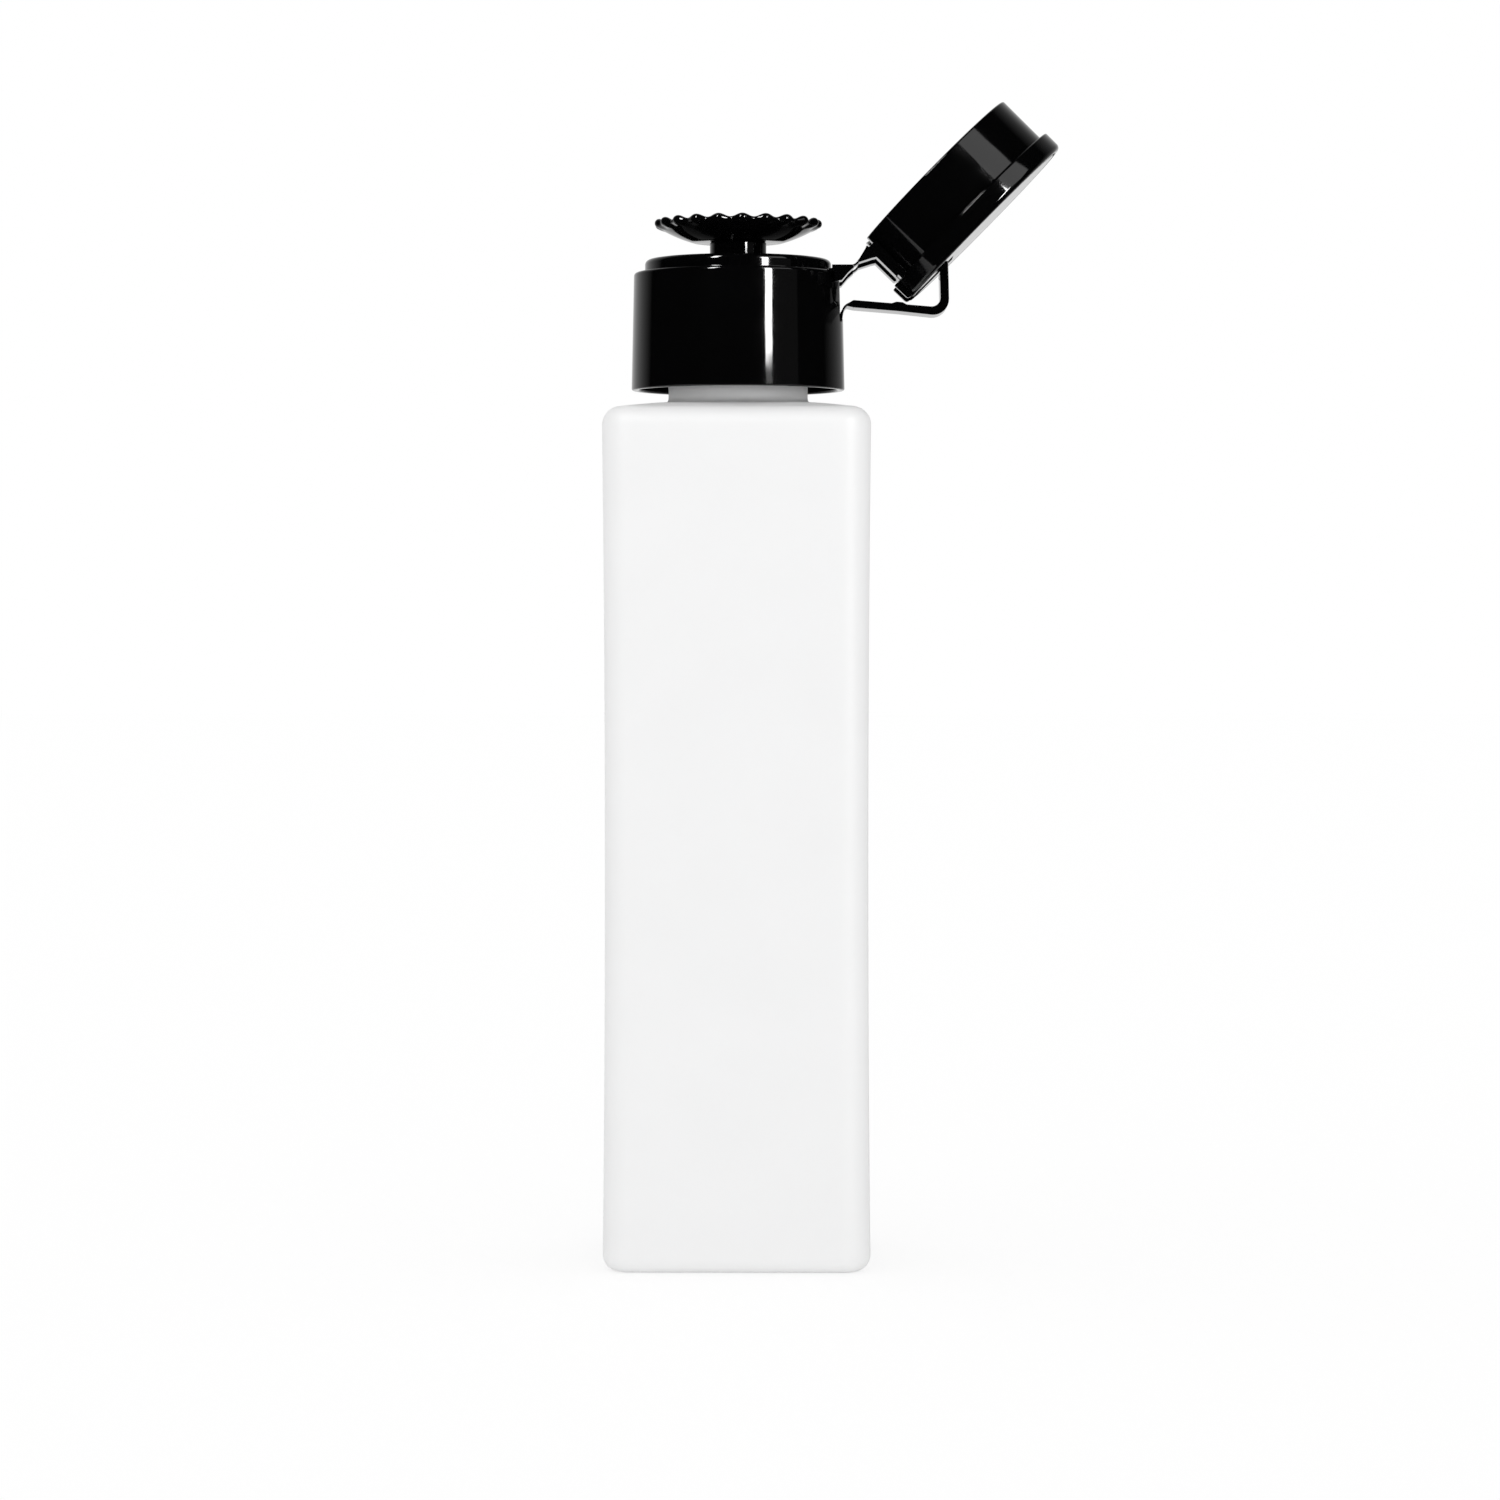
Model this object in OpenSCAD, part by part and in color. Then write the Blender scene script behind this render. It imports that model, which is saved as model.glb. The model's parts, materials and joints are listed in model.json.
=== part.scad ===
// Push-down dispenser bottle: a square blow-moulded bottle, a screw closure
// with a raised ring, a scalloped dish on a pump, a flip lid and a lock clip.
// Millimetres, +Z up, origin at the middle of the base, hinge side towards +X.
// Drawn at rest: the lid stands open against the clip, and the dish is up.

/* [Bottle] */
// Width of the square body, flat to flat
body_w = 42; // [36:0.5:60]
// Height of the shoulder's outer edge
shoulder_z = 135.4; // [100:0.2:180]
// Rise of the shoulder from its edge to the neck
shoulder_rise = 1.3; // [0.8:0.1:3]
// Radius of the four upright corners
corner_r = 4.5; // [3.5:0.25:8]
// Radius of the shoulder's edge
shoulder_r = 3; // [1.5:0.25:4]
// Radius of the base's edge
base_r = 2.6; // [1.6:0.2:3.2]
// How far each side wall is sunk at mid height
waist = 0.35; // [0:0.05:0.6]
// Wall thickness of the body
wall = 1.0; // [0.7:0.1:1.4]
// Thickness of the base
floor_t = 1.6; // [1.2:0.1:2.5]

/* [Neck] */
// Outer diameter of the neck under its thread
neck_d = 22.2; // [21:0.1:23]
// Height of the thread on the neck
thread_h = 0.9; // [0.6:0.1:1]
// Wall of the neck
neck_wall = 1.9; // [1.5:0.1:2.2]
// Height of the neck above the shoulder
neck_h = 17.6; // [16:0.2:20]

/* [Closure] */
// Gap between the shoulder and the closure's skirt
skirt_lift = 1.9; // [1:0.1:3]
// Outer diameter at the skirt's foot
skirt_d = 34; // [33.4:0.1:38]
// How much narrower the skirt is at its top
skirt_taper = 0.8; // [0.2:0.1:1.2]
// Wall of the closure's skirts
skirt_wall = 1.2; // [1:0.1:1.4]
// Width of the step between the skirt's top and the raised ring
step_w = 1.75; // [1.4:0.05:2.2]
// Height of the raised ring above the step
ring_h = 2; // [1.2:0.1:2.6]
// Thickness of the deck inside the ring
deck_t = 1.2; // [1:0.1:1.5]

/* [Dish] */
// Diameter over the dish's scallops
dish_d = 26.4; // [24:0.1:26.8]
// Number of scallops around the rim
scallops = 21; // [15:1:25]
// Height from the dish's underside to the top of its scallops
dish_h = 3.4; // [3:0.1:4]
// Clear height between the ring's top and the dish
dish_lift = 3; // [2.4:0.1:4]
// Thickness of the dish
dish_t = 1; // [0.8:0.1:1.2]
// Diameter of the sleeve under the dish
sleeve_d = 9; // [8.4:0.1:9.6]
// Travel of the pump
stroke = 4.2; // [3:0.1:4.4]

/* [Lid] */
// Wall of the lid's skirt
lid_wall = 1.2; // [1:0.1:1.4]
// How far the flange stands out from the lid's skirt
flange_out = 1.35; // [0.8:0.05:1.8]
// Depth of the flange
flange_h = 3.3; // [2.5:0.1:4]
// Thickness of the lid's top
lid_top_t = 1.2; // [1:0.1:1.4]
// Room over the dish's rim when the lid is shut
lid_head = 2.25; // [2.2:0.05:4]
// Angle that the lid stands open at rest
lid_open = 134.7; // [125:0.1:134.7]

/* [Hinge lugs] */
// Distance of the lid's fold line outside the skirt
fold_out = 2.05; // [1.8:0.05:2.6]
// Height of the lid's fold line above the step
fold_up = 1.4; // [1.2:0.05:1.6]
// Width of each hinge lug
lug_w = 4.1; // [3:0.1:4.6]
// Thickness of the film that folds
film_t = 0.35; // [0.25:0.05:0.45]

/* [Lock clip] */
// Width of the clip's strap
clip_w = 7.5; // [6:0.1:8.5]
// Thickness of the strap
clip_t = 0.9; // [0.7:0.05:1]
// Distance of the clip's fold line outside the skirt
clip_out = 0.4; // [0.3:0.05:0.6]
// Depth of the clip's fold line under the step
clip_down = 5.5; // [5:0.1:6]
// Fall of the long arm at rest, in degrees
clip_fall = 4.8; // [4.6:0.1:8]
// Length of the hook
hook_l = 8.2; // [6:0.1:9]
// Depth of the recess that the hook snaps into
recess_depth = 1.95; // [1.6:0.05:2.1]

/* [Pump] */
// Bore of the pump's cylinder
cylinder_d = 9; // [8.4:0.1:9.4]
// Outer diameter of the pump's stem
stem_d = 4.4; // [4.2:0.1:4.8]
// Bore of the stem
stem_bore = 2.4; // [1.8:0.1:2.4]
// Diameter of the inlet ball
inlet_ball_d = 4; // [3.6:0.1:4.2]
// Diameter of the outlet ball
outlet_ball_d = 3; // [2.8:0.05:3.2]
// Diameter of the spring's wire
wire_d = 0.7; // [0.5:0.05:0.8]
// Number of the spring's turns
coils = 6; // [4:1:7]
// Outer diameter of the dip tube
tube_d = 4.2; // [3.6:0.1:4.6]
// Wall of the dip tube
tube_wall = 0.7; // [0.5:0.05:0.9]
// Gap between the dip tube's end and the bottle's floor
tube_off_floor = 3; // [2:0.5:20]

/* [Hidden] */
$fn = 96;
eps = 0.01;
black = [0.05, 0.05, 0.06];
natural = [0.93, 0.93, 0.9];

// Clearances that fitting pieces share
press_gap = 0.02;    // pieces pushed together by hand
run_gap = 0.06;      // piston in its cylinder, ball cage in it
slide_gap = 0.1;     // stem in its guide, sleeve in the deck
thread_gap = 0.3;    // closure's thread round the neck, flange in the closure
lid_gap = 0.4;       // lid's mouth round the raised ring
clip_gap = 0.3;      // strap in its channel and notch, each side
seat_gap = 0.08;     // ball over its seat

// Heights up the stack of neck, gasket, pump flange, deck and ring
gasket_t = 0.8;
flange_t = 1;
neck_z = shoulder_z + shoulder_rise;
neck_top = neck_z + neck_h;
foot_z = neck_z + skirt_lift;
gasket_top = neck_top + gasket_t;
flange_top = gasket_top + flange_t;
deck_z = flange_top + press_gap;
deck_top = deck_z + deck_t;
step_z = deck_top + 0.18;
ring_z = step_z + ring_h;
dish_z = ring_z + dish_lift;
rim_z = dish_z + dish_h;

// Radii of the neck and the closure
neck_r = neck_d / 2;
skirt_r = skirt_d / 2;
skirt_top_r = skirt_r - skirt_taper / 2;
ring_r = skirt_top_r - step_w;
crest_r = neck_r + thread_gap;
inner_skirt_r = neck_r + thread_h + thread_gap;

// Lid and folds
lid_bore = 2 * (ring_r + lid_gap);
lid_r = lid_bore / 2 + lid_wall;
lid_top = rim_z + lid_head + lid_top_t;
fold_x = skirt_top_r + fold_out;
fold_z = step_z + fold_up;
lug_gap = clip_w + 1.1;
lug_y = (lug_gap + lug_w) / 2;
channel_w = clip_w + 2 * clip_gap;

// Clip, in its own frame: u along the strap from the fold, v towards the lid
clip_x = skirt_top_r + clip_out;
clip_z = step_z - clip_down;
clip_off = 0.62;
clip_root = 1.45;
recess_z = lid_top - recess_depth;
clip_reach = recess_z + 0.1 + clip_t / 2 - clip_z;
locked_x = clip_x - clip_off;
channel_x = locked_x - clip_t / 2 - 0.2;
recess_end = locked_x - hook_l - 1;

// Pump, from the sleeve under the dish down to the tube's socket
sleeve_r = sleeve_d / 2;
stem_r = stem_d / 2;
cylinder_r = cylinder_d / 2;
guide_in_r = sleeve_r + 0.5;
guide_r = guide_in_r + 0.9;
housing_r = guide_r + 1;
sleeve_foot = deck_z - 1.5;
guide_top = sleeve_foot - stroke - 0.3;
guide_z = guide_top - 1.2;
piston_top = guide_z - 0.05;
piston_foot = piston_top - 5;
stem_flange_t = 0.8;
spring_l = stroke + coils * wire_d + 1.6;
cage_top = piston_foot - spring_l;
inlet_r = inlet_ball_d / 2;
inlet_lift = 0.8;
port_r = 1.1;
seat_r = inlet_r + 0.6;
ball_z = -seat_r + inlet_r * sqrt(2) + seat_gap;
cage_in_z = ball_z + inlet_r + inlet_lift + 0.1;
cage_h = cage_in_z + 0.8;
floor_z = cage_top - cage_h;
tube_r = tube_d / 2;
tube_top = floor_z - seat_r - 1.7;
socket_z = tube_top - 7;

// Outlet valve at the stem's top, inside the dish
outlet_r = outlet_ball_d / 2;
outlet_lift = 0.7;
outlet_seat_r = 1.9;
dish_floor = dish_z + dish_t;
outlet_ball_up = -outlet_seat_r + outlet_r * sqrt(2) + seat_gap;
stem_top = dish_floor - 0.1 - outlet_lift - outlet_r - outlet_ball_up;

function arc(cx, cy, r, a0, a1, n = 8) =
    [for (i = [0:n]) let (a = a0 + (a1 - a0) * i / n) [cx + r * cos(a), cy + r * sin(a)]];

module turned(points) { rotate_extrude() polygon(points); }

// A profile drawn in X and Z, w wide about the middle plane
module along_y(w) { rotate([90, 0, 0]) linear_extrude(w, center = true) children(); }

// BOTTLE

module rounded_square(w, r) {
    square([w, w - 2 * r], center = true);
    square([w - 2 * r, w], center = true);
    for (x = [-1, 1], y = [-1, 1]) translate([x, y] * (w / 2 - r)) circle(r);
}

// Half of a side view: base edge, sunk side and shoulder edge
function body_edge(h, z0, z1, rb, rs) = concat(
    arc(h - rb, z0 + rb, rb, -90, 0),
    [for (i = [1:11]) let (t = i / 12)
        [h - waist * pow(sin(180 * t), 0.8), z0 + rb + (z1 - rs - z0 - rb) * t]],
    arc(h - rs, z1 - rs, rs, 0, 84));

// The square body, drawn in by inset: two side views and the plan in common
module square_body(inset, low_z) {
    w = body_w - 2 * inset;
    edge = body_edge(w / 2, low_z, shoulder_z - inset, base_r - inset / 2, shoulder_r - inset / 2);
    last = len(edge) - 1;
    view = concat(edge, [[neck_r, neck_z - inset], [-neck_r, neck_z - inset]],
                  [for (i = [last:-1:0]) [-edge[i][0], edge[i][1]]]);
    intersection() {
        linear_extrude(neck_z + 1) rounded_square(w, corner_r - inset);
        along_y(body_w + 2) polygon(view);
        rotate([0, 0, 90]) along_y(body_w + 2) polygon(view);
    }
}

module bottle() {
    lip = 0.4;
    root = 1;
    root_z = neck_z - 0.3;
    color("whitesmoke") difference() {
        union() {
            square_body(0, 0);
            turned(concat(
                [[0, root_z - 2], [neck_r + root, root_z - 2]],
                arc(neck_r + root, root_z + root, root, -90, -180, 5),
                [[neck_r, neck_top - lip], [neck_r - lip, neck_top], [0, neck_top]]));
        }
        square_body(wall, floor_t);
        translate([0, 0, neck_z - 5]) cylinder(h = neck_h + 10, r = neck_r - neck_wall);
    }
}

// CLOSURE

module closure() {
    top_round = 0.5;
    ring_round = 0.8;
    chamfer = 0.4;
    wall_in = inner_skirt_r + skirt_wall;
    inner_foot = foot_z + 2.2;
    seal_h = 0.9;
    notch_z = clip_z - 2.1;
    color(black) {
        difference() {
            union() {
                difference() {
                    // outside: skirt, step and ring, with the sunk deck
                    turned(concat(
                        [[0, foot_z], [skirt_r - chamfer, foot_z], [skirt_r, foot_z + chamfer]],
                        arc(skirt_top_r - top_round, step_z - top_round, top_round, 0, 90, 4),
                        [[ring_r, step_z]],
                        arc(ring_r - ring_round, ring_z - ring_round, ring_round, 0, 90, 6),
                        [[ring_r - skirt_wall, ring_z], [ring_r - skirt_wall, deck_top],
                         [0, deck_top]]));
                    // space between the outer and the inner skirt
                    turned([[wall_in, foot_z - 1], [skirt_r - skirt_wall, foot_z - 1],
                            [skirt_r - skirt_wall, foot_z + 1],
                            [skirt_top_r - skirt_wall, step_z - skirt_wall - 0.6],
                            [skirt_top_r - skirt_wall - 0.6, step_z - skirt_wall],
                            [wall_in, step_z - skirt_wall]]);
                    // room for the neck and its thread
                    translate([0, 0, foot_z - 1]) cylinder(h = deck_z - foot_z + 1, r = inner_skirt_r);
                    translate([0, 0, foot_z - 1]) cylinder(h = inner_foot - foot_z + 1, r = wall_in + eps);
                }
                // wall that centres the pump's flange
                translate([0, 0, neck_top - seal_h]) difference() {
                    cylinder(h = deck_z - neck_top + seal_h, r = inner_skirt_r + eps);
                    translate([0, 0, -1]) cylinder(h = deck_z - neck_top + seal_h + 1, r = crest_r);
                }
                closure_lugs();
            }
            // bore for the dish's sleeve
            translate([0, 0, deck_z - 1]) cylinder(h = deck_t + 2, r = sleeve_r + slide_gap);
            // notch that the clip folds into
            translate([ring_r + 0.5, -channel_w / 2, notch_z]) cube([5, channel_w, step_z - notch_z + 1]);
        }
        clip_film(notch_z);
        lid_film();
    }
}

// The two brackets that carry the lid's fold
module closure_lugs() {
    top = fold_z - 0.4;
    tip = fold_x - 0.25;
    for (side = [-1, 1]) translate([0, side * lug_y, 0]) along_y(lug_w)
        polygon([[ring_r - 0.6, step_z - 0.4], [ring_r - 0.6, top], [tip, top], [tip, top - 0.45],
                 [tip - 0.9, top - 1.25], [skirt_top_r - 0.1, step_z - 1.7],
                 [skirt_top_r - 1.3, step_z - 1.9], [skirt_top_r - 1.3, step_z - 0.4]]);
}

// Film from the lugs' tips up to the lid's fold
module lid_film() {
    tip = fold_x - 0.25;
    half = film_t / 2;
    for (side = [-1, 1]) translate([0, side * lug_y, 0]) along_y(lug_w) {
        polygon([[tip - 0.05, fold_z - 0.85], [tip + 0.05, fold_z - 0.85],
                 [fold_x + half - 0.05, fold_z - 0.2], [fold_x + half, fold_z], [fold_x - half, fold_z], [tip - 0.05, fold_z - 0.4]]);
        translate([fold_x, fold_z]) circle(half);
    }
}

// Film from the notch's foot up to the clip's fold
module clip_film(notch_z) {
    half = film_t / 2;
    along_y(clip_w - 0.4) {
        polygon([[skirt_top_r - 0.35, notch_z - 0.3], [skirt_top_r - 0.1, notch_z - 0.3],
                 [skirt_top_r + 0.1, notch_z + 0.8], [clip_x + half, clip_z - 0.05],
                 [clip_x + half, clip_z], [clip_x - half, clip_z], [skirt_top_r - 0.3, notch_z + 0.9]]);
        translate([clip_x, clip_z]) circle(half);
    }
}

// LID, drawn shut and then turned open about its fold

module opened() {
    translate([fold_x, 0, fold_z]) rotate([0, lid_open, 0]) translate([-fold_x, 0, -fold_z]) children();
}

module lid_shut() {
    flange_r = lid_r + flange_out;
    flange_z = lid_top - flange_h;
    inside_z = lid_top - lid_top_t;
    mouth_z = step_z + 0.05;
    edge_r = 0.8;
    back_t = 1.2;
    back_z = ring_z + 0.4;
    recess_t = 0.9;
    panel_r = flange_r - 1.2;
    head = 1.1;
    lug_reach = 2 * lug_y + lug_w + 1.6;
    difference() {
        union() {
            difference() {
                turned(concat(
                    [[lid_r - 0.3, mouth_z], [lid_r, mouth_z + 0.3], [lid_r, flange_z],
                     [flange_r - 0.25, flange_z], [flange_r, flange_z + 0.25]],
                    arc(flange_r - edge_r, lid_top - edge_r, edge_r, 0, 90, 6),
                    [[0, lid_top], [0, mouth_z]]));
                turned([[0, step_z - 1], [lid_bore / 2, step_z - 1], [lid_bore / 2, inside_z - 0.8],
                        [lid_bore / 2 - 0.8, inside_z], [0, inside_z]]);
                // fine groove that frames the top panel
                turned([[panel_r - 0.5, lid_top - 0.25], [panel_r, lid_top - 0.25],
                        [panel_r, lid_top + 1], [panel_r - 0.5, lid_top + 1]]);
            }
            // flat wall behind the clip's channel
            intersection() {
                translate([channel_x - back_t, -channel_w / 2 - back_t, back_z])
                    cube([4, channel_w + 2 * back_t, inside_z - back_z + 0.2]);
                cylinder(h = lid_top, r = lid_bore / 2 + 0.2);
            }
            // floor under the hook's recess
            intersection() {
                translate([recess_end - recess_t, -channel_w / 2 - recess_t, recess_z - recess_t])
                    cube([flange_r, channel_w + 2 * recess_t, inside_z - recess_z + recess_t + 0.2]);
                cylinder(h = lid_top, r = lid_bore / 2 + 0.2);
            }
        }
        // channel for the strap and recess for its hook
        translate([channel_x, -channel_w / 2, step_z - 1]) cube([5, channel_w, lid_top - step_z + 2]);
        translate([recess_end, -channel_w / 2, recess_z]) cube([flange_r, channel_w, 4]);
        // slope at the channel's head, for the bend of the strap
        along_y(channel_w) polygon([[channel_x - head, recess_z + eps], [channel_x + eps, recess_z + eps],
                                    [channel_x + eps, recess_z - head]]);
        // mouth cut back over the closure's lugs
        along_y(lug_reach)
            polygon([[ring_r - 0.75, step_z - 1], [ring_r - 0.75, step_z + 1.75],
                     [lid_r + 0.2, step_z + 2.6], [fold_x + 4, step_z + 2.6], [fold_x + 4, step_z - 1]]);
    }
    lid_lugs();
}

module lid_lugs() {
    start = film_t / 2 + 0.08;
    for (side = [-1, 1]) translate([0, side * lug_y, 0]) along_y(lug_w)
        polygon([[fold_x - 0.3, fold_z + start], [fold_x - 0.05, fold_z + start],
                 [fold_x + 0.2, fold_z + start + 0.35], [lid_r + 0.2, fold_z + 1.3],
                 [lid_r - 0.1, fold_z + 2.2], [lid_r - 1.1, fold_z + 2.2], [lid_r - 1.1, fold_z]]);
}

module lid() { color(black) opened() lid_shut(); }

// LOCK CLIP: an L of flat strap, thinned to a film at its fold

module lock_clip() {
    bend_r = 2.4;
    half = clip_t / 2;
    bend_u = clip_reach + half - bend_r;
    bend_v = clip_off - half + bend_r;
    film_u = film_t / 2 + 0.08;
    color(black) translate([clip_x, 0, clip_z]) rotate([0, clip_fall, 0]) along_y(clip_w)
        polygon(concat(
            [[film_u, -0.05], [clip_root, clip_off - half]],
            arc(bend_u, bend_v, bend_r, -90, 0),
            [[clip_reach + half, clip_off + hook_l], [clip_reach - half + 0.2, clip_off + hook_l - 1.3],
             [clip_reach - half, clip_off + hook_l - 2.6]],
            arc(bend_u, bend_v, bend_r - clip_t, 0, -90),
            [[clip_root + 0.3, clip_off + half], [clip_root - 0.5, clip_off + half - 0.35],
             [film_u, 0.2]]));
}

// SEAL AND PUMP

module neck_gasket() {
    color("lightgray") translate([0, 0, neck_top + press_gap]) difference() {
        cylinder(h = gasket_t - press_gap, r = neck_r);
        translate([0, 0, -1]) cylinder(h = gasket_t + 2, r = housing_r + 0.2);
    }
}

module pump_housing() {
    cup_r = cylinder_r + 1;
    socket_r = tube_r + press_gap;
    color(natural) difference() {
        turned([[guide_r, flange_top], [neck_r + 0.1, flange_top], [neck_r + 0.1, gasket_top],
                [housing_r, gasket_top], [housing_r, guide_z - 0.6], [cup_r, guide_z - 1.8],
                [cup_r, floor_z - 0.4], [socket_r + 1, tube_top + 0.4], [socket_r + 0.8, socket_z],
                [socket_r, socket_z], [socket_r, tube_top], [port_r, tube_top],
                [port_r, floor_z - seat_r + port_r], [seat_r, floor_z], [cylinder_r, floor_z],
                [cylinder_r, guide_z], [guide_r, guide_z]]);
        // vent that lets air back into the bottle
        translate([0, 0, guide_top + 2]) rotate([0, 90, 0]) cylinder(h = housing_r + 1, r = 0.5);
    }
}

module stem_guide() {
    color(natural) turned([
        [stem_r + slide_gap, guide_z], [guide_r - press_gap, guide_z],
        [guide_r - press_gap, flange_top], [guide_in_r, flange_top],
        [guide_in_r, guide_top], [stem_r + slide_gap, guide_top]]);
}

module dip_tube() {
    end_z = floor_t + tube_off_floor;
    slant = 30;
    color(natural) difference() {
        translate([0, 0, end_z]) cylinder(h = tube_top - end_z, r = tube_r);
        translate([0, 0, end_z - 1]) cylinder(h = tube_top - end_z + 2, r = tube_r - tube_wall);
        // slanted end, so that the tube can't seal against the floor
        translate([-tube_r, 0, end_z]) rotate([0, -slant, 0]) translate([-1, -5, -10]) cube([20, 10, 10]);
    }
}

module inlet_ball() { color("silver") translate([0, 0, floor_z + ball_z]) sphere(inlet_r); }

module ball_cage() {
    windows = 4;
    color(natural) translate([0, 0, floor_z]) difference() {
        cylinder(h = cage_h, r = cylinder_r - run_gap);
        translate([0, 0, -1]) cylinder(h = cage_in_z + 1, r = inlet_r + 0.4);
        cylinder(h = cage_h + 1, r = port_r);
        for (i = [1:windows]) rotate([0, 0, 360 * i / windows])
            translate([0, -0.7, 1]) cube([cylinder_r + 1, 1.4, cage_in_z - 1]);
    }
}

// A wire swept along a helix whose two end turns lie closed
module return_spring() {
    steps = 16;
    sides = 8;
    rings = coils * steps;
    mean_r = cylinder_r - 0.35 - wire_d / 2;
    low = cage_top + press_gap + wire_d / 2;
    free = spring_l - 2 * press_gap - wire_d;
    pitch = (free - 2 * wire_d) / (coils - 2);
    function rise(t) = t < 1 ? wire_d * t
        : t > coils - 1 ? free - wire_d * (coils - t) : wire_d + pitch * (t - 1);
    points = [for (i = [0:rings]) let (t = i / steps)
        for (k = [0:sides - 1]) let (b = 360 * k / sides, r = mean_r + wire_d / 2 * cos(b))
            [r * cos(360 * t), r * sin(360 * t), low + rise(t) + wire_d / 2 * sin(b)]];
    faces = concat([[for (k = [0:sides - 1]) k]],
        [for (i = [0:rings - 1], k = [0:sides - 1]) let (a = i * sides, m = (k + 1) % sides)
            [a + k, a + sides + k, a + sides + m, a + m]],
        [[for (k = [sides - 1:-1:0]) rings * sides + k]]);
    color("silver") polyhedron(points, faces, convexity = 10);
}

module piston_stem() {
    bore_r = stem_bore / 2;
    flange_r = cylinder_r - 0.5;
    color(natural) turned([
        [bore_r, piston_foot], [flange_r, piston_foot], [flange_r, piston_foot + stem_flange_t],
        [stem_r, piston_foot + stem_flange_t], [stem_r, stem_top], [outlet_seat_r, stem_top],
        [bore_r, stem_top - outlet_seat_r + bore_r]]);
}

module piston_seal() {
    z = piston_foot + stem_flange_t + press_gap;
    seal_r = cylinder_r - run_gap;
    waist_r = seal_r - 0.6;
    in_r = stem_r + press_gap;
    color("lightgray") turned([
        [in_r, z], [seal_r - 0.3, z], [seal_r, z + 0.5], [seal_r, z + 1],
        [waist_r, z + 1.6], [waist_r, piston_top - 1.6], [seal_r, piston_top - 1],
        [seal_r, piston_top - 0.4], [seal_r - 0.3, piston_top], [in_r, piston_top]]);
}

module dish() {
    rim_r = dish_d / 2;
    lobe_r = 1.15;
    bead_r = 0.72;
    flat_r = rim_r - 6.7;
    bowl_r = 9.5;
    bowl_a = 40;
    boss_r = stem_r + press_gap;
    rim_x = flat_r + bowl_r * sin(bowl_a);
    turn = 3.9;
    color(black) difference() {
        union() {
            turned(concat(
                [[0, dish_z]],
                arc(flat_r, dish_z + bowl_r, bowl_r, -90, -90 + bowl_a, 10),
                arc(flat_r, dish_z + bowl_r, bowl_r - dish_t, -90 + bowl_a, -90, 10),
                [[0, dish_floor]]));
            // rolled rim with its scallops
            rotate_extrude() translate([rim_r - lobe_r - 0.1, rim_z - 0.45 - bead_r]) circle(bead_r, $fn = 32);
            for (i = [0:scallops - 1]) rotate([0, 0, -90 + turn + 360 * i / scallops])
                translate([rim_r - lobe_r, 0, rim_z - lobe_r]) sphere(lobe_r, $fn = 32);
            // sleeve, and the socket for the stem
            translate([0, 0, sleeve_foot]) difference() {
                cylinder(h = dish_z - sleeve_foot + 0.2, r = sleeve_r);
                translate([0, 0, -1]) cylinder(h = dish_z - sleeve_foot + 1, r = sleeve_r - 0.8);
            }
            translate([0, 0, dish_z - 5]) cylinder(h = 5.2, r = boss_r + 0.8);
        }
        translate([0, 0, dish_z - 6]) cylinder(h = 8, r = boss_r);
    }
}

module outlet_ball() {
    color("silver") translate([0, 0, stem_top + outlet_ball_up]) sphere(outlet_r);
}

// Perforated insert that keeps the outlet ball in the dish
module outlet_insert() {
    holes = 4;
    plug_r = stem_r;
    cap_r = plug_r + 2;
    cap_h = 1.1;
    color(black) translate([0, 0, dish_floor + press_gap]) difference() {
        turned([[0, 0], [outlet_r + 0.15, 0], [outlet_r + 0.15, -0.5], [plug_r, -0.5], [plug_r, 0],
                [cap_r, 0], [cap_r, 0.4], [cap_r - 1.2, cap_h - 0.1], [cap_r - 2, cap_h], [0, cap_h]]);
        for (i = [1:holes]) rotate([0, 0, 360 * i / holes])
            translate([0.95, 0, -1]) cylinder(h = 3, r = 0.35);
    }
}

bottle();
closure();
lid();
lock_clip();
neck_gasket();
pump_housing();
stem_guide();
dip_tube();
inlet_ball();
ball_cage();
return_spring();
piston_stem();
piston_seal();
dish();
outlet_ball();
outlet_insert();
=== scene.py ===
import json
import math
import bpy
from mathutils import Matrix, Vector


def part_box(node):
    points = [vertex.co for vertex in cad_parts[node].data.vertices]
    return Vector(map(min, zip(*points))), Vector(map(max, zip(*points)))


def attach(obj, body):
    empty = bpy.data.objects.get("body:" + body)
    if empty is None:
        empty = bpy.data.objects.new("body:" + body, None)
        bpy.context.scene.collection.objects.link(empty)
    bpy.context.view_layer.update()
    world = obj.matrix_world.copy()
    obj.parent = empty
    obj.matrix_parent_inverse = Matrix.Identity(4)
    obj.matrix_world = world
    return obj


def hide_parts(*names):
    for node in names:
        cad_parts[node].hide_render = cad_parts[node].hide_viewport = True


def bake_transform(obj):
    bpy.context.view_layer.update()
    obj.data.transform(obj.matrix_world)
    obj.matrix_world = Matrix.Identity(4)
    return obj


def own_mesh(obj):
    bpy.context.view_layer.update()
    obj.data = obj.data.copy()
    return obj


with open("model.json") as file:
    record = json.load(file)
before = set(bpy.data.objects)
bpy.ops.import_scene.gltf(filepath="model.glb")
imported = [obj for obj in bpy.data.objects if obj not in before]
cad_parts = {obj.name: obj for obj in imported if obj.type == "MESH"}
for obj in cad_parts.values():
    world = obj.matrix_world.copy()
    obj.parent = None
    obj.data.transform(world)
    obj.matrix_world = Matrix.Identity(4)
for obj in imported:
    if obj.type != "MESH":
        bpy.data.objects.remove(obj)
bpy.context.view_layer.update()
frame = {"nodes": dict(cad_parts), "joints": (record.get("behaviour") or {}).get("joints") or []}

from types import SimpleNamespace

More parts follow.
